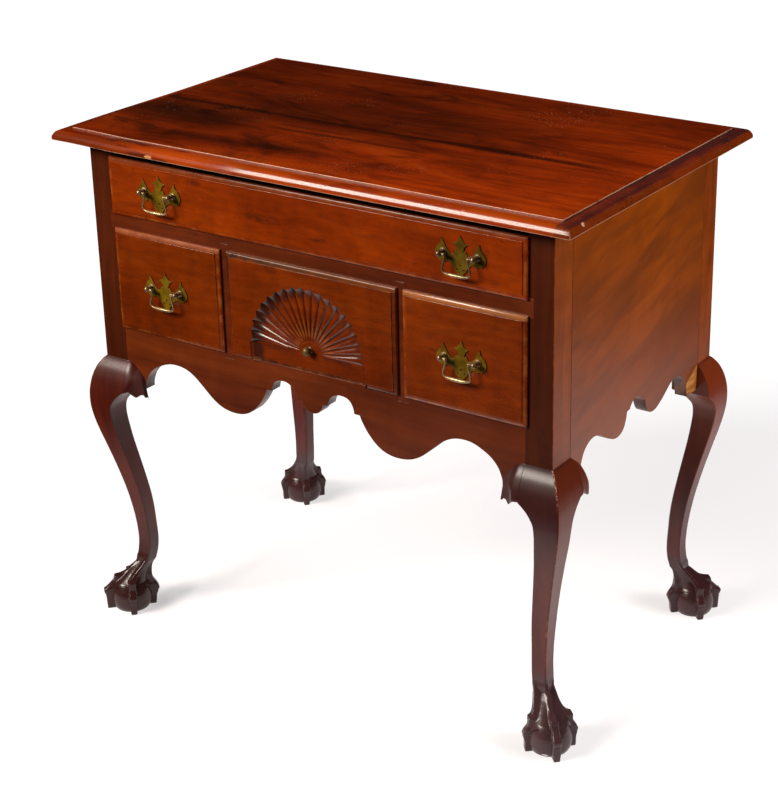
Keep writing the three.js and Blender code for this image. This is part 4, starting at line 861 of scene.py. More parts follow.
for k, ax, s in (("inner_x", 0, 61.0), ("inner_y", 1, 67.0), ("back", 0, 71.0)):
    M[k] = wood(f"secondary_{k}", PINE, ax, s, 0, rough=0.72, spread=0.05, coat=0.0, figure=0.9, ripple=0.1,
                pore=0.2, wear_and_highlight_col=(0.50, 0.34, 0.18), wear_and_highlight_amt=0.4, grime_and_shade_col=(0.07, 0.035, 0.015), grime_and_shade_amt=0.6,
                extra=back_extra if k == "back" else None)
M["brass"] = brass("aged_brass", 0.0, ((0.044, 0.024, 0.0005), (0.122, 0.068, 0.0007), (0.23, 0.136, 0.0016)), 0.12, 0.40, 0.04, 0.22)
M["bronze"] = brass("dark_brass", 3.0, ((0.075, 0.038, 0.012), (0.21, 0.125, 0.048), (0.40, 0.27, 0.12)), 0.66, 0.36, 0.3)
M["knob"] = brass("dull_brass", 9.0, ((0.036, 0.016, 0.004), (0.090, 0.046, 0.012), (0.17, 0.095, 0.030)), 0.40, 0.46, 0.05, 0.3)
M["bail"] = brass("worn_brass", 6.0, ((0.14, 0.085, 0.030), (0.34, 0.23, 0.10), (0.52, 0.38, 0.20)), 0.62, 0.36, 0.3)


# ------------------------------------------------------------------- top board
def rounded_rect(hx, hy, r, nx, ny, nc=5):
    """Closed outline, counter-clockwise, of a rectangle with small corners."""
    pts = []
    for (cx, cy, a0, n, ex, ey) in ((hx - r, hy - r, 0, nx, -1, 0), (-hx + r, hy - r, 90, ny, 0, -1),
                                    (-hx + r, -hy + r, 180, nx, 1, 0), (hx - r, -hy + r, 270, ny, 0, 1)):
        for k in range(nc):
            a = math.radians(a0 + 90 * k / (nc - 1))
            pts.append((cx + r * math.cos(a), cy + r * math.sin(a)))
        L = 2 * ((hx if ex else hy) - r)
        x, y = pts[-1]
        for k in range(1, n):
            pts.append((x + ex * L * k / n, y + ey * L * k / n))
    return np.array(pts)


def build_top():
    z0 = TOP_Z - TOP_T
    prof = [(22.0, 0), (12.0, 0.35), (5.0, 1.5), (1.2, 2.55), (0.35, 2.95)]
    body = catmull([[0.08, 3.5], [0, 5.2], [0.25, 8.0], [1.6, 10.6], [3.0, 12.9], [5.4, 15.0], [9.2, 16.3], [20.4, 16.95]], 5)
    prof += [tuple(p) for p in body]
    prof += [(21.1, 16.8), (21.5, 16.84), (21.62, 17.1), (21.7, 18.35), (21.82, 18.68), (22.1, 18.92), (22.5, 19.0), (24.5, 19.0)]
    sh = Shape()
    rings = []
    for inset, h in prof:
        r = rounded_rect(TOP_X - inset, TOP_Y - inset, 1.1, 90, 56)
        rings.append(np.column_stack([r, np.full(len(r), z0 + h)]))
    R = np.array(rings)
    # hand-planed edge: it wavers by a couple of tenths of a millimetre
    c = R.shape[1]
    wob = np.interp(np.arange(c), np.linspace(0, c, 40), RNG.normal(0, 0.12, 40))
    wob[:] = np.convolve(np.concatenate([wob[-6:], wob, wob[:6]]), np.ones(9) / 9, "same")[6:-6]
    for k in range(3, len(prof) - 8):
        R[k, :, 2] += wob * 0.6
    # the board has cupped a little at its left front corner
    R[..., 2] += 1.9 * smooth((-R[..., 0] - 285) / 105) * smooth((-R[..., 1] + 40) / 220)
    # chips on the front moulding and on the right end
    for cx, cy, cz, rad, deep in ((-240.5, -257.6, 748.7, 6.0, 1.2), (416.6, -221.9, 757.0, 5.0, 0.9), (264.8, -257.5, 756, 2.4, 0.5)):
        d = np.sqrt((R[..., 0] - cx) ** 2 + (R[..., 1] - cy) ** 2 + (R[..., 2] - cz) ** 2)
        amt = smooth(1 - d / rad) * deep
        R[..., 0] -= amt * np.sign(cx) * (abs(cx) > 400)
        R[..., 1] += amt * (abs(cx) <= 400)
    base = sh.grid(R, wrap=True)
    sh.face([base + k for k in range(c)][::-1])
    sh.face([base + (len(prof) - 1) * c + k for k in range(c)])
    finish_piece("v_top_board", sh, "case", ["top_board"], [M["top"]], wear_and_highlight=(420, 1300))


build_top()

# ------------------------------------------------------------------------ legs
OUTER = catmull(LEG_OUTER, 8)
INNER = catmull(LEG_INNER, 8)


def outer_at(z):
    return np.where(z > 419, 0.0, np.interp(z, OUTER[::-1, 1], OUTER[::-1, 0]))


def inner_at(z, width):
    low = np.interp(z, INNER[:, 1], INNER[:, 0]) - 1.1 * np.exp(-((z - 98) / 24.0) ** 2)
    return np.where(z > 371.6, -width, low)


def tri(z, pts):
    return np.interp(z, [p[0] for p in pts], [p[1] for p in pts])


def poly_sdf(pts, poly):
    """Signed distance of pts[n, 2] to a closed polygon."""
    poly = np.asarray(poly, float)
    p = pts[:, None, :]
    a = poly[None]
    b = np.roll(poly, -1, 0)[None]
    e = b - a
    w = p - a
    t = np.clip((w * e).sum(-1) / (e * e).sum(-1), 0, 1)
    d = np.sqrt(((w - e * t[..., None]) ** 2).sum(-1)).min(1)
    c1 = a[..., 1] > p[..., 1]
    c2 = b[..., 1] > p[..., 1]
    xs = a[..., 0] + (p[..., 1] - a[..., 1]) * e[..., 0] / np.where(np.abs(e[..., 1]) < 1e-9, 1e-9, e[..., 1])
    inside = (np.sum((c1 != c2) & (p[..., 0] < xs), 1) % 2) == 1
    return np.where(inside, -d, d)


def ring_angles(n=24, power=1.4):
    u = (np.arange(n + 1) / n) ** power * 45.0
    q = np.concatenate([45 - u[::-1], 45 + u[1:]])[:-1]      # one quadrant, 0..90
    return np.radians(np.concatenate([q + 90 * k for k in range(4)]))


THETA = ring_angles()
TOES = [(catmull(TOE_FRONT, 3, sharp=62, closed=True), 45.0), (catmull(TOE_SIDE, 3, sharp=62, closed=True), 135.0),
        (catmull(TOE_BACK, 3, sharp=62, closed=True), 225.0), (catmull(TOE_SIDE, 3, sharp=62, closed=True), 315.0)]
TOE_HALF = [(0, 4.7), (5, 5.2), (14, 5.6), (21, 5.5), (25, 5.8), (29, 6.3), (33, 6.1), (38, 5.2),
            (44, 5.1), (48, 5.7), (52, 5.8), (56, 4.9), (62, 4.0), (70, 3.4), (80, 2.7), (92, 1.3), (98, 1.0)]
SIDE_OUT = [(50.8, 0), (53, 1.2), (57, 3.6), (61, 4.8), (68, 5.4), (86, 5.6), (98, 4.0)]
TOE_ROUND = [(0, 1.3), (22, 1.7), (28, 2.2), (34, 2.2), (42, 1.8), (50, 1.6), (56, 1.9), (62, 2.5), (90, 2.3)]
WEB_R = [(22, 31.0), (28, 31.3), (33, 30.2), (38, 28.4), (42, 26.4), (45, 24.5), (50, 21.4), (56, 18.0), (62, 15.2), (68, 12.9), (76, 10.8)]
BALL = [(0, 25.0), (1.2, 26.4), (4, 28.2), (8, 29.8), (13, 30.7), (18, 30.8), (23, 30.2), (28, 29.0), (33, 27.3), (38, 24.9), (42, 22.2), (46, 18.6),
        (50, 13.0), (52, 8.0), (53, 0.0)]


def leg_rings(depth, fa, fb):
    """Rings of the leg in local axes: a, b outward from the post's corner."""
    zs = np.concatenate([[0.0, 0.35, 0.9], np.arange(1.6, 50, 0.75), np.arange(50, 60, 0.4), np.arange(60, 92, 0.8),
                         np.arange(92, 150, 1.6), np.arange(151, 340, 4.0), np.arange(340, 371.0, 1.6), [371.3, 371.9, 372.6],
                         np.arange(374, 419, 1.5), [419.0, 419.8, 423, 440, 620.3, 648, 741.9, CASE_Z1]])
    s = np.arange(0, 60, 0.4)
    ct, st = np.cos(THETA), np.sin(THETA)
    grid_r = np.arange(-62, 64, 0.25)
    rings = []
    for z in zs:
        o = float(outer_at(z))
        ia, ib = float(inner_at(z, POST_X)), float(inner_at(z, depth))
        ca, cb = (o + ia) / 2, (o + ib) / 2
        ha, hb = (o - ia) / 2, (o - ib) / 2
        # corner radii: the outer arris, then the others
        r0 = tri(z, [(60, 2.6), (100, 2.2), (150, 2.2), (250, 2.2), (350, 1.8), (400, 1.5), (419, 1.0), (430, 0.9)])
        r1 = tri(z, [(60, 2.1), (92, 2.1), (150, 5.0), (250, 4.5), (330, 3.6), (360, 2.2), (371, 0.3), (419, 0.3), (430, 0.8)])
        if z >= 92:
            # ray against a rounded rectangle, each ray stretched with the section
            ua, ub = ct * ha, st * hb
            k = 1 / np.maximum(np.abs(ct), np.abs(st))
            pa, pb = ua * k, ub * k
            r2 = min(tri(z, [(92, 1.8), (150, 1.8), (250, 2.0), (371, 2.0)]), r1)
            for sa, sb, r in ((1, 1, r0), (-1, 1, r2), (-1, -1, r1), (1, -1, r2)):
                r = min(r, ha * 0.98, hb * 0.98)
                m = (np.sign(pa + 1e-9) == sa) & (np.sign(pb + 1e-9) == sb)
                qa, qb = np.abs(pa), np.abs(pb)
                inc = m & (qa > ha - r) & (qb > hb - r)
                if inc.any():
                    # solve for the arc along the ray
                    da, db = np.abs(ua[inc]), np.abs(ub[inc])
                    A, B = ha - r, hb - r
                    aa = da ** 2 + db ** 2
                    bb = -2 * (da * A + db * B)
                    cc = A * A + B * B - r * r
                    t = (-bb + np.sqrt(np.maximum(bb * bb - 4 * aa * cc, 0))) / (2 * aa)
                    pa[inc], pb[inc] = sa * da * t, sb * db * t
            rings.append(np.column_stack([ca + pa, cb + pb, np.full(len(ct), z)]))
            continue
        # the foot, carved as a field and met by rays from its own middle line
        t = smooth((z - 46) / 30)
        oa, ob_ = fa + (ca - fa) * t, fb + (cb - fb) * t
        A = oa + ct[:, None] * s[None]
        B = ob_ + st[:, None] * s[None]
        tw = float(np.clip((z - 45) / 31, 0, 1))
        wa, wb = fa + (ca - fa) * tw, fb + (cb - fb) * tw
        if z < 76:
            hr = tri(z, WEB_R)
            da = hb_ = hr
        else:
            da, hb_ = ha, hb
        disc = np.hypot(A - wa, B - wb) - hr if z < 76 else None
        rr = tri(z, [(56, 8.0), (68, 4.5), (76, 2.8), (92, 2.1)])
        qx = np.abs(A - wa) - (da - rr)
        qy = np.abs(B - wb) - (hb_ - rr)
        rect = np.hypot(np.maximum(qx, 0), np.maximum(qy, 0)) + np.minimum(np.maximum(qx, qy), 0) - rr
        if z < 76:
            k = float(smooth((z - 52) / 22))
            core = disc * (1 - k) + rect * k
        else:
            core = rect
        ra, rb = A - fa, B - fb
        phi = np.arctan2(rb, ra)
        arch = 23.5 + 17.0 * np.abs(np.cos(2 * phi)) ** 0.75      # 0 at the toes, 1 between them
        core = np.maximum(core, (arch - z) * 1.6)
        ball = np.hypot(ra, rb) - tri(z, BALL)
        toes = None
        w = tri(z, TOE_HALF)
        rho = min(tri(z, TOE_ROUND), w * 0.95)
        for poly, ang in TOES:
            u, v = math.cos(math.radians(ang)), math.sin(math.radians(ang))
            line = poly_sdf(np.column_stack([grid_r, np.full(len(grid_r), max(z, 0.55))]), poly)
            r = ra * u + rb * v
            # the side toes start at the ankle's corners and sweep outward
            side = {135.0: 1, 315.0: -1}.get(ang, 0)
            sweep = tri(z, [(50, 0), (60, 7.2), (70, 16.5), (80, 24.6), (86, 28.2), (92, 30.6), (98, 32.0)]) * side
            if side:
                r = r - tri(z, SIDE_OUT) * ((1.0 if side > 0 else 0.0) if fa > -5 else 0.5)
            tt = np.abs(-ra * v + rb * u - sweep)
            d2 = np.interp(r, grid_r, line) + 0.9 * math.exp(-((z - 23.5) / 1.1) ** 2) + 1.0 * float(smooth((z - 84) / 8))
            x, y = d2 + rho, tt - w + rho
            d = np.hypot(np.maximum(x, 0), np.maximum(y, 0)) + np.minimum(np.maximum(x, y), 0) - rho
            toes = d if toes is None else smin(toes, d, 1.5)
        f = smin(core, toes, 1.8)
        f = smin(f, ball, 0.7)
        inside = f < 0
        last = inside.shape[1] - 1 - np.argmax(inside[:, ::-1], 1)
        last = np.where(inside.any(1), np.minimum(last, len(s) - 2), 0)
        i = np.arange(len(last))
        f0, f1 = f[i, last], f[i, last + 1]
        R = s[last] + 0.4 * np.clip(f0 / np.where(np.abs(f0 - f1) < 1e-9, 1e-9, f0 - f1), 0, 1)
        if z < 1.5:
            R = np.minimum(R, 60)
        rings.append(np.column_stack([oa + R * ct, ob_ + R * st, np.full(len(ct), z)]))
    return np.array(rings)


def block_columns(kind, dz, d0, d1=76.0, n=64):
    """Closed loops of a knee block at growing distance d from the post corner:
    (d, out, z). out is how far it stands in front of the case."""
    top = catmull(BLOCK_TOP, 6)
    low = catmull([[d, z + (dz if d > 45 else 0)] for d, z in BLOCK_LOW[:-1]] + [[76, 363 + dz]], 6, sharp=50)
    plan = catmull(PLAN_FRONT if kind == "front" else PLAN_SIDE, 5)
    loops = []
    ds = d0 + (d1 - d0) * (1 - (1 - np.linspace(0, 1, n)) ** 1.15)
    for d in ds:
        zt = float(np.interp(d, top[:, 0], top[:, 1]))
        zl = float(min(np.interp(d, low[:, 0], low[:, 1]), zt - 0.4))
        z = zl + (zt - zl) * np.linspace(0, 1, 40) ** 0.9
        shift = (419 - zt) * (0.40 + 0.60 * float(smooth((d - 44) / 16)) if kind == "front" else 0.8)
        sw = np.interp(z + shift, OUTER[::-1, 1], OUTER[::-1, 0])
        sw = np.where(z + shift > 419, 0.0, sw)
        pl = float(np.interp(d, plan[:, 0], plan[:, 1]))
        p = smin(sw, np.full_like(sw, pl), 3.0 if kind == "front" else 1.2)
        # the sawn edge is eased
        edge = np.minimum(z - zl, 3.0) / 3.0
        p = p - 0.7 * (1 - edge) ** 2
        p = np.maximum(p, 0.25)
        back = BOARD_T if d < EAR else 0.0
        loop = [(d, float(a), float(b)) for a, b in zip(p, z)]
        loop.append((d, 0.0, zt))
        zf = max(379.6, zl) if back else max(zl, min(zt, 379.6))
        zf = min(zf, zt - 0.1)
        loop.append((d, 0.0, zf))
        loop.append((d, -back, zf))
        loop.append((d, -back, zl))
        loops.append(loop)
    return np.array(loops)


def add_block(sh, kind, sx, sy, dz, d0, mat=0):
    L = block_columns(kind, dz, d0)
    P = np.zeros_like(L)
    d, out, z = L[..., 0], L[..., 1], L[..., 2]
    if kind == "front":
        P[..., 0] = sx * (CASE_X - d)
        P[..., 1] = CASE_Y0 - GAP * (out > 0) - out
    else:
        yF = CASE_Y0 if sy < 0 else CASE_Y1
        P[..., 1] = yF - sy * d
        P[..., 0] = sx * (CASE_X + GAP * (out > 0) + out)
    P[..., 2] = z
    sh.tube(P, mat=mat)


for sx, sn in ((-1, "left"), (1, "right")):
    for sy, fn, depth in ((-1, "front", FRONT_POST_Y), (1, "rear", REAR_POST_Y)):
        yF = CASE_Y0 if sy < 0 else CASE_Y1
        fa = -5.5 + (3.0 if sx > 0 and sy < 0 else 0.0)
        fb = -5.5 if sy < 0 else -7.5
        R = leg_rings(depth, fa, fb)
        P = R.copy()
        P[..., 0] = sx * (CASE_X + R[..., 0])
        P[..., 1] = yF + sy * R[..., 1]
        sh = Shape()
        sh.tube(P)
        if sx < 0 and sy > 0:
            add_block(sh, "side", sx, sy, 3, REAR_POST_Y - 2.5)
        key = f"leg_{fn[0]}{sn[0]}"
        edge = abs(yF)

        def arris(co, edge=edge):
            off = np.abs((np.abs(co[:, 0]) - CASE_X) - (np.abs(co[:, 1]) - edge))
            high = np.where(co[:, 2] > 420, 0.7, 1.0) * smooth((9 - off) / 4)
            return np.where(co[:, 2] > 93, high * smooth((co[:, 2] - 100) / 60), 0.0)

        def soil(co):
            return 0.35 * smooth((92 - co[:, 2]) / 25)
        finish_piece(f"v_{fn}_{sn}_leg", sh, "case", [f"{fn}_{sn}_leg"], [M[key]], angle=50, wear_and_highlight=(170, 430), blur=4,
                     dirt_and_shade=soil, keep=arris)

for name, kind, sx, dz in (("left_leg_front_knee_block", "front", -1, 5), ("right_leg_front_knee_block", "front", 1, -2),
                           ("left_leg_side_knee_block", "side", -1, 3), ("right_leg_side_knee_block", "side", 1, 3)):
    sh = Shape()
    add_block(sh, kind, sx, -1, dz, 39.86 if kind == "front" else FRONT_POST_Y + 0.06)
    finish_piece("v_" + name, sh, "case", [name], [M["leg_fl" if sx < 0 else "leg_fr"]], angle=45, wear_and_highlight=(260, 700),
                 keep=lambda co: np.full(len(co), 0.15))

# ------------------------------------------------- side panels, apron and rails
SIDE_MID = (CASE_Y0 + CASE_Y1) / 2
for sx, sn in ((-1, "left"), (1, "right")):
    y0 = CASE_Y0 + FRONT_POST_Y + GAP
    y1 = CASE_Y1 - REAR_POST_Y - GAP
    scroll = [[SIDE_MID - v, z] for v, z in reversed(SIDE_SCROLL)] + [[SIDE_MID + v, z] for v, z in SIDE_SCROLL[1:]]
    sc = catmull(scroll, 5, sharp=34)
    out = np.array([[y0, CASE_Z1], [y0, 380.0]] + sc.tolist() + [[y1, 380.0], [y1, CASE_Z1]])
    sh = Shape()
    a, b = (PANEL_IN, CASE_X) if sx > 0 else (-CASE_X, -PANEL_IN)
    sawn(sh, out, 0, a, b, 0.5)
    # dark narrow faces below about 446 mm: painted shade on the sawn lower edge, which faces down
    finish_piece(f"v_{sn}_side_panel", sh, "case", [f"{sn}_side_panel"], [M["side_" + sn]],
                 dirt_and_shade=lambda co: 0.92 * smooth((446 - co[:, 2]) / 6))

sc = catmull(APRON_SCROLL, 5, sharp=34)
ap = [[-IN_X + GAP, ROW0[0]], [-IN_X + GAP, 380.0]] + sc.tolist() + [[IN_X - GAP, 380.0], [IN_X - GAP, ROW0[0]]]
for lo, hi in ((DIV_R[0], DIV_R[1]), (DIV_L[0], DIV_L[1])):
    ap += [[hi + GAP, ROW0[0]], [hi + GAP, 462.7], [lo - GAP, 462.7], [lo - GAP, ROW0[0]]]
sh = Shape()
sawn(sh, np.array(ap), 1, CASE_Y0, CASE_Y0 + BOARD_T, 0.35)
# dark narrow faces below about 456 mm: painted shade on the sawn lower edge, which faces down
finish_piece("v_front_apron", sh, "case", ["front_apron"], [M["apron"]],
             dirt_and_shade=lambda co: 0.85 * smooth((456 - co[:, 2]) / 6))

z0, z1 = ROW0[1], ROW1[0]
rail = [[-348, z0 + GAP], [-IN_X + GAP, z0 + GAP], [-IN_X + GAP, z0]]
for lo, hi in ((DIV_L[0], DIV_L[1]), (DIV_R[0], DIV_R[1])):
    rail += [[lo - GAP, z0], [lo - GAP, 632.3], [hi + GAP, 632.3], [hi + GAP, z0]]
rail += [[IN_X - GAP, z0], [IN_X - GAP, z0 + GAP], [348, z0 + GAP], [348, z1], [-348, z1]]
sh = Shape()
sawn(sh, np.array(rail), 1, CASE_Y0 - 0.12, CASE_Y0 + BOARD_T, 0.3)
sh.box(-IN_X + GAP, IN_X - GAP, CASE_Y0 + BOARD_T - 0.5, CASE_Y0 + 45, z0, z1, 0.4)
finish_piece("v_drawer_rail", sh, "case", ["drawer_rail"], [M["rail"]])
clone("top_rail", "v_top_rail", [M["rail_top"]], 0.4)
for n in ("left_divider", "right_divider"):
    clone(n, "v_" + n, [M["rail"]], 0.35)
clone("back_panel", "v_back_panel", [M["back"]], 0.8)
for n in ("upper_left_runner", "upper_right_runner", "lower_left_runner", "lower_right_runner",
          "lower_left_middle_runner", "lower_right_middle_runner"):
    clone(n, "v_" + n, [M["inner_y"]], 0.7)

# --------------------------------------------------------------------- drawers
LIP = [(0.35, 0.4), (0.0, 0.8)] + [tuple(p) for p in catmull([[0, 2.2], [0.45, 3.3], [1.6, 4.35], [3.0, 4.95], [4.6, 5.32], [6.2, 5.5]], 4)] \
    + [(6.36, 5.5), (6.44, 5.6), (6.5, 6.1), (6.62, 6.4), (6.85, 6.56), (7.2, 6.6)]


def lip_rings(lx0, lx1, lz0, lz1):
    rings = []
    for inset, out in LIP:
        e = 0.25
        x0, x1, zz0, zz1 = lx0 + inset, lx1 - inset, lz0 + inset, lz1 - inset
        y = CASE_Y0 - out
        rings.append([(x0, y, zz0 + e), (x0 + e, y, zz0), (x1 - e, y, zz0), (x1, y, zz0 + e),
                      (x1, y, zz1 - e), (x1 - e, y, zz1), (x0 + e, y, zz1), (x0, y, zz1 - e)])
    return np.array(rings)


RAYS = 19


def fan_depth(r, a):
    """How deep the carving lies under the face, at radius r and angle a (0 at
    the right, pi at the left)."""
    rim = fan_rim(a)
    u = (a / math.pi * RAYS) % 1.0
    v = 2 * u - 1
    half = math.pi / RAYS / 2 * r
    crest = np.minimum(1.3 * half, 4.2)
    reed = crest * np.maximum(1 - np.abs(v) ** 2.0, 0) ** 0.62
    start = rim - 20.0
    t = np.clip((r - start) / 20.0, 0, 1)
    ground = FAN_DEEP * (1 - t ** 2.2) ** 0.72
    return ground - reed * (1 - 0.15 * t)


def fan_rim(a):
    """Outer radius of the tips between the rays."""
    return 97.0 + 2.0 * np.clip(-np.cos(a), -1, 1) * np.abs(np.cos(a)) + 0.0 * a


def centre_face(sh, lip):
    """Face of the centre drawer: a fan carved in a flat field."""
    lx0, lx1, lz0, lz1 = lip
    fx0, fx1, fz0, fz1 = lx0 + 7.2, lx1 - 7.2, lz0 + 7.2, lz1 - 7.2
    nper = 16
    a = np.linspace(0, math.pi, RAYS * nper + 1)
    # extra samples close to the valleys
    u = np.linspace(0, 1, nper + 1)
    u = 0.5 - 0.5 * np.cos(math.pi * u)
    a = np.concatenate([[(k + uu) / RAYS * math.pi for uu in u[:-1]] for k in range(RAYS)] + [[math.pi]])
    rim = fan_rim(a)
    # radius where the surface meets the face
    rr = np.linspace(0, 1, 400)
    edge = np.zeros(len(a))
    for i, ang in enumerate(a):
        r = rim[i] - 20 + 20 * rr
        d = fan_depth(r, np.full_like(r, ang))
        k = np.argmax(d <= 0.0) if (d <= 0).any() else len(r) - 1
        edge[i] = r[k]
    rows = []
    # boss: low dome with a rounded step
    for r, d in ((0.0, FAN_DEEP - 2.4), (8, FAN_DEEP - 2.4), (15, FAN_DEEP - 2.25), (17.6, FAN_DEEP - 2.0), (18.7, FAN_DEEP - 1.5),
                 (19.1, FAN_DEEP - 0.8), (19.3, FAN_DEEP + 0.7), (19.8, FAN_DEEP + 0.8)):
        rows.append((np.full(len(a), float(r)), np.full(len(a), float(d))))
    for t in (1 - (1 - np.linspace(0, 1, 44)) ** 1.6)[0:]:
        r = 20.0 + (edge - 20.0) * t
        d = fan_depth(r, a)
        d = np.maximum(d, 0)
        if t >= 1:
            d = np.zeros(len(a))
        rows.append((r, d))
    P = []
    for r, d in rows:
        P.append(np.column_stack([FAN_X + r * np.cos(a), FACE_Y + d, FAN_Z + r * np.sin(a)]))
    # the flat field outside the rim
    ca, sa = np.cos(a), np.sin(a)
    tx = np.where(ca > 0, (fx1 - FAN_X) / np.maximum(ca, 1e-9), (fx0 - FAN_X) / np.minimum(ca, -1e-9))
    tz = (fz1 - FAN_Z) / np.maximum(sa, 1e-9)
    far = np.minimum(tx, tz)
    P.append(np.column_stack([FAN_X + (edge + 0.35) * ca, np.full(len(a), FACE_Y), FAN_Z + (edge + 0.35) * sa]))
    P.append(np.column_stack([FAN_X + (edge + (far - edge) * 0.3) * ca, np.full(len(a), FACE_Y), FAN_Z + (edge + (far - edge) * 0.3) * sa]))
    P.append(np.column_stack([FAN_X + far * ca, np.full(len(a), FACE_Y), FAN_Z + far * sa]))
    sh.grid(np.array(P))
    # fill the two upper corners that the rays cut off
    for sx, fx in ((1, fx1), (-1, fx0)):
        c = math.atan2(fz1 - FAN_Z, fx - FAN_X)
        i = int(np.searchsorted(a, c))
        pa = P[-1][i - 1]
        pb = P[-1][i]
        b = sh.points([pa, pb, (fx, FACE_Y, fz1)])
        sh.face([b, b + 1, b + 2])
    # band under the fan: level with the ground, scooped up at both ends
    xl, xr = FAN_X - edge[-1], FAN_X + edge[0]
    xs = np.concatenate([[fx0, xl - 0.35], xl + 18 * (np.linspace(0, 1, 18) ** 1.5), np.linspace(xl + 21, xr - 18, 30),
                         xr - 15 * (np.linspace(1, 0, 14) ** 1.5), [xr + 0.35, fx1]])

    def band_depth(x):
        t = np.clip(1 - (x - xl) / 18.0, 0, 1)
        t2 = np.clip(1 - (xr - x) / 15.0, 0, 1)
        t = np.maximum(t, t2)
        deep = 3.0 + 3.6 * (x - xl) / (xr - xl)
        d = deep * np.sqrt(np.maximum(1 - t ** 2.4, 0))
        return np.where((x <= xl) | (x >= xr), 0.0, d)
    bd = band_depth(xs)
    band = []
    for z, dd in ((FAN_Z, None), (FAN_Z - 0.35, 1.0), (FAN_Z - 8, 1.0), (fz0, 1.0)):
        y = FACE_Y + (bd if dd else np.where(bd > 0, np.maximum(bd, 0), 0))
        band.append(np.column_stack([xs, y, np.full(len(xs), z)]))
    sh.grid(np.array(band))
    # the same section run down through the lip
    inner = (xs >= xl - 0.01) & (xs <= xr + 0.01)
    xi, bi = xs[inner], bd[inner]
    low = []
    for z, e in ((fz0, 0.0), (lz0 + 3.7, 0.0), (lz0 + 3.3, 0.55), (lz0 + 2.9, 0.6), (lz0 + 2.6, 0.1), (lz0 + 2.3, 0.0), (lz0 + 1.2, 0.1),
                 (lz0 + 0.5, 0.5), (lz0 + 0.1, 1.2), (lz0, 1.6)):
        low.append(np.column_stack([xi, FACE_Y + bi + e, np.full(len(xi), z)]))
    back = np.column_stack([xi, np.full(len(xi), CASE_Y0 - LIP_CLEAR + 2.2), np.full(len(xi), lz0)])
    low.append(back)
    sh.grid(np.array(low))
    return xl, xr


def fan_grime_and_shade(co):
    """Dark marks between the rays, round the boss and at the rim: old polish and dust with painted shade, the rim
    darkest on its left side, where shade falls.
    """
    x, z = co[:, 0] - FAN_X, co[:, 2] - FAN_Z
    r = np.hypot(x, z)
    a = np.clip(np.arctan2(z, x), 0, math.pi)
    u = (a / math.pi * RAYS) % 1.0
    half = math.pi / RAYS / 2 * r
    gap = np.minimum(u, 1 - u) * 2 * half
    cut = (z > -0.2) & (co[:, 1] > FACE_Y + 0.15) & (co[:, 1] < FACE_Y + 9)
    g = np.exp(-(gap / (0.24 * half + 0.40)) ** 2) * (r > 19.4)
    left = smooth((a - 1.0) / 1.6)
    rim = smooth((r - 71) / 14) * (0.45 + 0.55 * left)
    boss = np.exp(-((r - 19.6) / 1.1) ** 2)
    foot = np.exp(-(z / 0.5) ** 2) * (r > 19.4) * (r < 97)
    fan = np.where(cut, np.maximum(np.maximum(g, rim), boss), foot)
    # painted shade in the scooped ends of the band below, the left end most, and a painted shadow line along the
    # groove near the lower lip
    low = (z <= -0.2) & (co[:, 1] > FACE_Y + 0.05) & (co[:, 1] < FACE_Y + 9)
    ends = 0.95 * smooth((x + 97) / 3) * smooth((-74 - x) / 9) + 0.30 * smooth((x - 76) / 8)
    groove = 0.8 * np.exp(-((co[:, 2] - (471.5 + 3.1)) / 0.5) ** 2) * (np.abs(x) < 97)
    return np.maximum(fan, np.where(low, np.clip(np.maximum(ends, groove), 0, 1), 0.0))


def mould_piece(sh, path, cap0=None, cap1=None):
    """Run the lip moulding along a path of (x, z, inward x, inward z) frames."""
    rings = []
    for x, z, ix, iz in path:
        loop = [(x + ix * i, CASE_Y0 - o, z + iz * i) for i, o in LIP]
        loop += [(x + ix * 7.2, CASE_Y0 - 0.4, z + iz * 7.2)]
        rings.append(loop)
    sh.tube(np.array(rings))


def drawer_front(name, d):
    sh = Shape()
    lx0, lx1, lz0, lz1 = d["lip"]
    ox0, ox1, oz0, oz1 = d["open"]
    x0, x1, z0, z1 = ox0 + SIDE_CLEAR, ox1 - SIDE_CLEAR, oz0 + RUN_CLEAR, oz1 - TOP_CLEAR
    if name == "centre":
        xl, xr = centre_face(sh, d["lip"])
        e = 1.0
        path = [(xl, lz0, 0, 1), (lx0 + 0.0, lz0, 1, 1), (lx0, lz1, 1, -1), (lx1, lz1, -1, -1), (lx1, lz0, -1, 1), (xr, lz0, 0, 1)]
        mould_piece(sh, path)
        # the body starts 0.1 mm further back here than on the other fronts
        sh.box(x0, x1, CASE_Y0 - 0.5, FRONT_IN, z0, z1, 0.4, mat=1)
    else:
        R = lip_rings(*d["lip"])
        base = sh.grid(R, wrap=True)
        c = R.shape[1]
        sh.face([base + k for k in range(c)][::-1])
        sh.face([base + (len(LIP) - 1) * c + k for k in range(c)])
        sh.box(x0, x1, CASE_Y0 - 0.6, FRONT_IN, z0, z1, 0.4, mat=0)
    return sh, (x0, x1, z0, z1)


for name, d in DRAWERS.items():
    body = f"{name}_drawer"
    sh, (x0, x1, z0, z1) = drawer_front(name, d)
    finish_piece(f"v_{name}_drawer_front", sh, body, [f"{name}_drawer_front"], [M[name], M[name]], angle=34,
                 dirt_and_shade=fan_grime_and_shade if name == "centre" else None)
    for part, mk in (("left_side", "inner_y"), ("right_side", "inner_y"), ("back", "inner_x"), ("bottom", "inner_x")):
        clone(f"{name}_drawer_{part}", f"v_{name}_drawer_{part}", [M[mk]], 0.6 if part != "bottom" else 0.4)


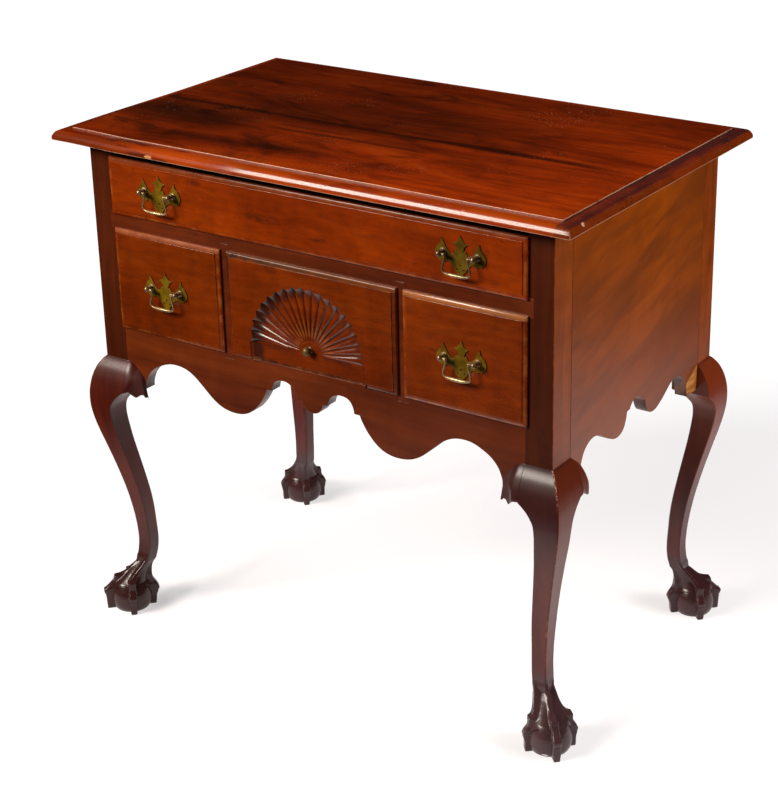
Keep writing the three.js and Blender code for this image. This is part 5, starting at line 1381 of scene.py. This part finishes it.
# ----------------------------------------------------------------------- pulls
def flat_sheet(outline, holes, t, bevel):
    """A sheet pierced and cut to an outline, its edges rounded; x, y plane."""
    cu = bpy.data.curves.new("tmp_sheet", "CURVE")
    cu.dimensions = "2D"
    cu.fill_mode = "BOTH"
    cu.extrude = (t / 2 - bevel) * MM
    cu.bevel_depth = bevel * MM
    cu.bevel_resolution = 2
    cu.offset = -bevel * MM
    for loop in [outline, *holes]:
        sp = cu.splines.new("POLY")
        sp.points.add(len(loop) - 1)
        for p, (x, y) in zip(sp.points, loop):
            p.co = (x * MM, y * MM, 0, 1)
        sp.use_cyclic_u = True
    ob = bpy.data.objects.new("tmp_sheet", cu)
    bpy.context.scene.collection.objects.link(ob)
    bpy.context.view_layer.update()
    me = bpy.data.meshes.new_from_object(ob.evaluated_get(bpy.context.evaluated_depsgraph_get()))
    bpy.data.objects.remove(ob)
    bpy.data.curves.remove(cu)
    bm = bmesh.new()
    bm.from_mesh(me)
    bmesh.ops.remove_doubles(bm, verts=bm.verts, dist=1e-6)
    v = np.array([x.co[:] for x in bm.verts]) / MM
    f = [[q.index for q in p.verts] for p in bm.faces]
    bm.free()
    bpy.data.meshes.remove(me)
    return v, f


def lathe(sh, profile, place_fn, n=40, mat=0):
    """Turn (s, r) round the axis; place_fn maps (s, r cos, r sin) to x, y, z."""
    a = np.linspace(0, 2 * math.pi, n, endpoint=False)
    rings = []
    for s, r in profile:
        r = max(r, 0.02)
        rings.append([place_fn(s, r * math.cos(t), r * math.sin(t)) for t in a])
    sh.tube(np.array(rings), mat=mat)


POST = [[-26.3, 0.1], [-26.3, 4.2], [-25.9, 4.6], [-22.7, 4.6], [-22.3, 4.2], [-22.3, 2.2], [1.6, 2.2], [1.6, 4.6], [1.9, 5.0], [2.6, 5.1],
        [3.1, 4.9], [3.3, 4.2], [3.7, 3.3], [4.4, 2.9], [4.9, 3.3], [5.5, 3.95], [6.2, 4.2], [6.9, 3.95], [7.5, 3.3], [8.1, 2.7],
        [8.7, 2.7], [9.3, 3.3], [10.0, 4.0], [11.0, 4.5], [12.0, 4.65], [13.0, 4.5], [14.1, 4.0], [15.0, 3.25], [15.8, 2.3], [16.3, 1.3], [16.6, 0.1]]
KNOB = [[-26.3, 0.1], [-26.3, 4.6], [-22.3, 4.6], [-22.3, 2.2], [-5.8, 2.2], [-5.8, 4.1], [-5.5, 4.5], [-4.8, 4.5], [-4.4, 4.0], [-3.9, 3.0], [-3.2, 2.6],
        [-2.4, 2.8], [-1.4, 3.5], [-0.2, 4.8], [0.9, 5.8], [2.1, 6.35], [3.2, 6.45], [4.4, 6.15], [5.5, 5.5], [6.5, 4.5], [7.3, 3.2], [7.9, 1.7], [8.2, 0.1]]


def circle(x, y, r, n=20):
    return [(x + r * math.cos(2 * math.pi * k / n), y - r * math.sin(2 * math.pi * k / n)) for k in range(n)]


def tube_along(sh, path, radii, n=16):
    """A round bar of changing thickness along a plane path in x, z."""
    P = np.asarray(path, float)
    T = np.gradient(P, axis=0)
    T /= np.linalg.norm(T, axis=1)[:, None]
    up = np.array([0.0, 1.0, 0.0])
    rings = []
    for p, t, r in zip(P, T, radii):
        s = np.cross(t, up)
        s /= np.linalg.norm(s)
        q = np.cross(s, t)
        rings.append([p + r * (math.cos(a) * s + math.sin(a) * q) for a in np.linspace(0, 2 * math.pi, n, endpoint=False)])
    sh.tube(np.array(rings))


half = catmull(PLATE, 3, sharp=38)
outline = half.tolist() + [[0, -31.0]] + [[-u, w] for u, w in half[::-1][:-1]]
plate_v, plate_f = flat_sheet(outline, [circle(5.0, -20.6, 1.15), circle(-5.0, -20.6, 1.15), circle(0, -15.4, 1.3),
                                        circle(13.0, -8.2, 1.2), circle(-13.0, -8.2, 1.2)], PLATE_T, 0.32)
for drawer, d in DRAWERS.items():
    for which, px, pz in d["pulls"]:
        tag = f"{drawer}_drawer_{which}_pull" if which else f"{drawer}_drawer_pull"
        body = f"{drawer}_drawer"
        bail_body = tag.replace("_pull", "_bail")
        sh = Shape()
        b = sh.points(np.column_stack([px + plate_v[:, 0], FACE_Y - GAP * 0.4 - PLATE_T / 2 - plate_v[:, 2], pz + plate_v[:, 1]]))
        for f in plate_f:
            sh.face([b + i for i in f])
        finish_piece(f"v_{tag}_plate", sh, body, [f"{tag}_plate"], [M["brass"]], wear_and_highlight=(300, 1500),
                     keep=lambda co: np.full(len(co), 0.06))
        for s, sn in ((-1, "left"), (1, "right")):
            sh = Shape()
            lathe(sh, POST, lambda q, u, v, x=px + s * POST_HALF, z=pz: (x + u, FACE_Y - q, z + v), 36)
            finish_piece(f"v_{tag}_{sn}_post", sh, body, [f"{tag}_{sn}_post"], [M["bronze"]], angle=40, wear_and_highlight=(500, 2500))
        ay = FACE_Y - AXIS_OUT
        pts = BAIL + [[-u, w] for u, w in reversed(BAIL)]
        path2 = catmull([[24.6, 0.0]] + pts + [[-24.6, 0.0]], 8)
        path = np.column_stack([px + path2[:, 0], np.full(len(path2), ay), pz + path2[:, 1]])
        u = np.abs(path2[:, 0])
        w = path2[:, 1]
        rad = np.interp(u, [0, 8, 13, 14.2, 17, 21, 21.6, 25], [2.75, 2.35, 1.75, 1.5, 1.5, 1.5, 1.15, 1.05])
        rad = np.where(w > -20, np.where(u > 21.2, 1.05, 1.5), rad)
        grip = w < -24.2
        rad = np.where(grip & (np.abs(u - 13.4) < 0.75), 2.15, rad)
        sh = Shape()
        tube_along(sh, path, rad, 16)
        for s in (-1, 1):
            ball = [(-2.5 + 0.001, 0.05)] + [(-2.5 * math.cos(t), 2.5 * math.sin(t)) for t in np.linspace(0.25, math.pi - 0.25, 11)] + [(2.5, 0.05)]
            lathe(sh, ball, lambda q, a, c, x=px + s * 18.3, z=pz - 0.6: (x + q, ay + a, z + c), 24)
        finish_piece(f"v_{tag}_bail", sh, bail_body, [f"{tag}_bail"], [M["bail"]], angle=50, wear_and_highlight=(500, 2500))
sh = Shape()
lathe(sh, KNOB, lambda q, u, v: (FAN_X + u, FACE_Y - q, FAN_Z + 6 + v), 40)
finish_piece("v_centre_drawer_knob", sh, "centre_drawer", ["centre_drawer_knob"], [M["knob"]], angle=40, wear_and_highlight=(500, 2500),
             keep=lambda co: np.full(len(co), 0.3))

# ------------------------------------------------------- floor, light, camera
g = Nodes("studio_floor")
tc, xyz = g.coords()
def disc(cx, cy, r0, r1):
    dx, dy = g.math("SUBTRACT", xyz[0], cx), g.math("SUBTRACT", xyz[1], cy)
    return g.remap(g.math("SQRT", g.math("ADD", g.math("MULTIPLY", dx, dx), g.math("MULTIPLY", dy, dy))), r0, r1, 0.0, 1.0)


gone = g.math("MULTIPLY", disc(0.42, 0.45, 0.42, 1.00), disc(0.02, -0.03, 0.52, 0.84))
g.bsdf.inputs["Base Color"].default_value = (0.42, 0.41, 0.42, 1)
g.bsdf.inputs["Emission Color"].default_value = (1.0, 0.985, 1.0, 1)
shade = None
for fx, fy, rx, ry, amt in ((-0.338, -0.165, 0.020, 0.050, 0.30), (-0.350, -0.205, 0.040, 0.035, 0.22), (-0.325, 0.245, 0.045, 0.035, 0.20),
                            (0.318, 0.208, 0.045, 0.028, 0.24), (0.345, -0.240, 0.040, 0.030, 0.18), (-0.31, -0.04, 0.030, 0.11, 0.10)):
    q = g.math("MULTIPLY", near(g, xyz, (fx, fy, 0), (rx, ry, None), 1.0), amt)
    shade = q if shade is None else g.math("ADD", shade, q)
g.put(g.bsdf.inputs["Emission Strength"], g.math("MULTIPLY", 0.67, g.math("SUBTRACT", 1.0, g.math("MULTIPLY", shade, 0.7))))
g.bsdf.inputs["Roughness"].default_value = 0.85
clear = g.new("ShaderNodeBsdfTransparent")
mx = g.new("ShaderNodeMixShader")
g.put(mx.inputs[0], gone)
g.t.links.new(g.bsdf.outputs[0], mx.inputs[1])
g.t.links.new(clear.outputs[0], mx.inputs[2])
g.t.links.new(mx.outputs[0], g.t.nodes["Material Output"].inputs["Surface"])
me = bpy.data.meshes.new("studio_floor")
n = 96
me.from_pydata([(0.35 + 2.0 * math.cos(2 * math.pi * k / n), 0.5 + 2.0 * math.sin(2 * math.pi * k / n), -0.0002) for k in range(n)], [], [list(range(n))])
floor = bpy.data.objects.new("studio_floor", me)
me.materials.append(g.mat)
bpy.context.scene.collection.objects.link(floor)

world = bpy.data.worlds.new("studio")
bpy.context.scene.world = world
world.use_nodes = True
wt = world.node_tree
bg = wt.nodes["Background"]
bg.inputs[0].default_value = (1.0, 0.9, 0.85, 1)
bg.inputs[1].default_value = 0.06
white = wt.nodes.new("ShaderNodeBackground")
white.inputs[0].default_value = (1, 1, 1, 1)
white.inputs[1].default_value = 1.05
lp = wt.nodes.new("ShaderNodeLightPath")
ms = wt.nodes.new("ShaderNodeMixShader")
dim = wt.nodes.new("ShaderNodeBackground")
dim.inputs[0].default_value = (1.0, 0.8, 0.7, 1)
dim.inputs[1].default_value = 0.006
mg = wt.nodes.new("ShaderNodeMixShader")
wt.links.new(lp.outputs["Is Glossy Ray"], mg.inputs[0])
wt.links.new(bg.outputs[0], mg.inputs[1])
wt.links.new(dim.outputs[0], mg.inputs[2])
wt.links.new(lp.outputs["Is Camera Ray"], ms.inputs[0])
wt.links.new(mg.outputs[0], ms.inputs[1])
wt.links.new(white.outputs[0], ms.inputs[2])
wt.links.new(ms.outputs[0], wt.nodes["World Output"].inputs[0])


def softbox(name, loc, target, sx, sy, power, colour=(1, 1, 1)):
    li = bpy.data.lights.new(name, "AREA")
    li.shape = "RECTANGLE"
    li.size, li.size_y = sx, sy
    li.energy = power
    li.color = colour
    ob = bpy.data.objects.new(name, li)
    ob.location = loc
    ob.rotation_euler = (Vector(target) - Vector(loc)).to_track_quat("-Z", "Y").to_euler()
    bpy.context.scene.collection.objects.link(ob)
    return ob


softbox("key", (-2.21, -3.62, 3.06), (0, -0.1, 0.5), 2.06, 1.36, 352, (1.0, 0.92, 0.82))
# the two fill lights give no glare of their own
for fill in (softbox("side", (2.2, 0.45, 1.3), (0.3, 0, 0.45), 1.4, 1.3, 42, (1.0, 0.95, 0.88)),
             softbox("rear", (0.9, 2.6, 1.5), (0, 0.2, 0.45), 0.8, 0.8, 12, (1.0, 0.97, 0.93))):
    fill.visible_glossy = False

sc_ = bpy.context.scene
sc_.view_settings.view_transform = "Standard"
sc_.view_settings.look = "None"
sc_.view_settings.exposure = 0.0
sc_.view_settings.gamma = 1.0

az, el, roll = math.radians(32.96), math.radians(22.906), math.radians(-0.596)
back = Vector((math.sin(az) * math.cos(el), -math.cos(az) * math.cos(el), math.sin(el)))
right = Vector((math.cos(az), math.sin(az), 0))
up = back.cross(right)
r2 = math.cos(roll) * right + math.sin(roll) * up
u2 = -math.sin(roll) * right + math.cos(roll) * up
cam_data = bpy.data.cameras.new("camera")
cam_data.lens = 1966.217 * 36 / 800
cam_data.sensor_width = 36
cam_data.sensor_fit = "AUTO"
cam_data.shift_x = -(451.873 - 389.0) / 800
cam_data.shift_y = -(400.0 - 379.163) / 800
cam_data.clip_end = 50
cam = bpy.data.objects.new("camera", cam_data)
cam.matrix_world = Matrix(((r2.x, u2.x, back.x, 1.504158), (r2.y, u2.y, back.y, -2.195656), (r2.z, u2.z, back.z, 1.505512), (0, 0, 0, 1)))
bpy.context.scene.collection.objects.link(cam)
sc_.camera = cam
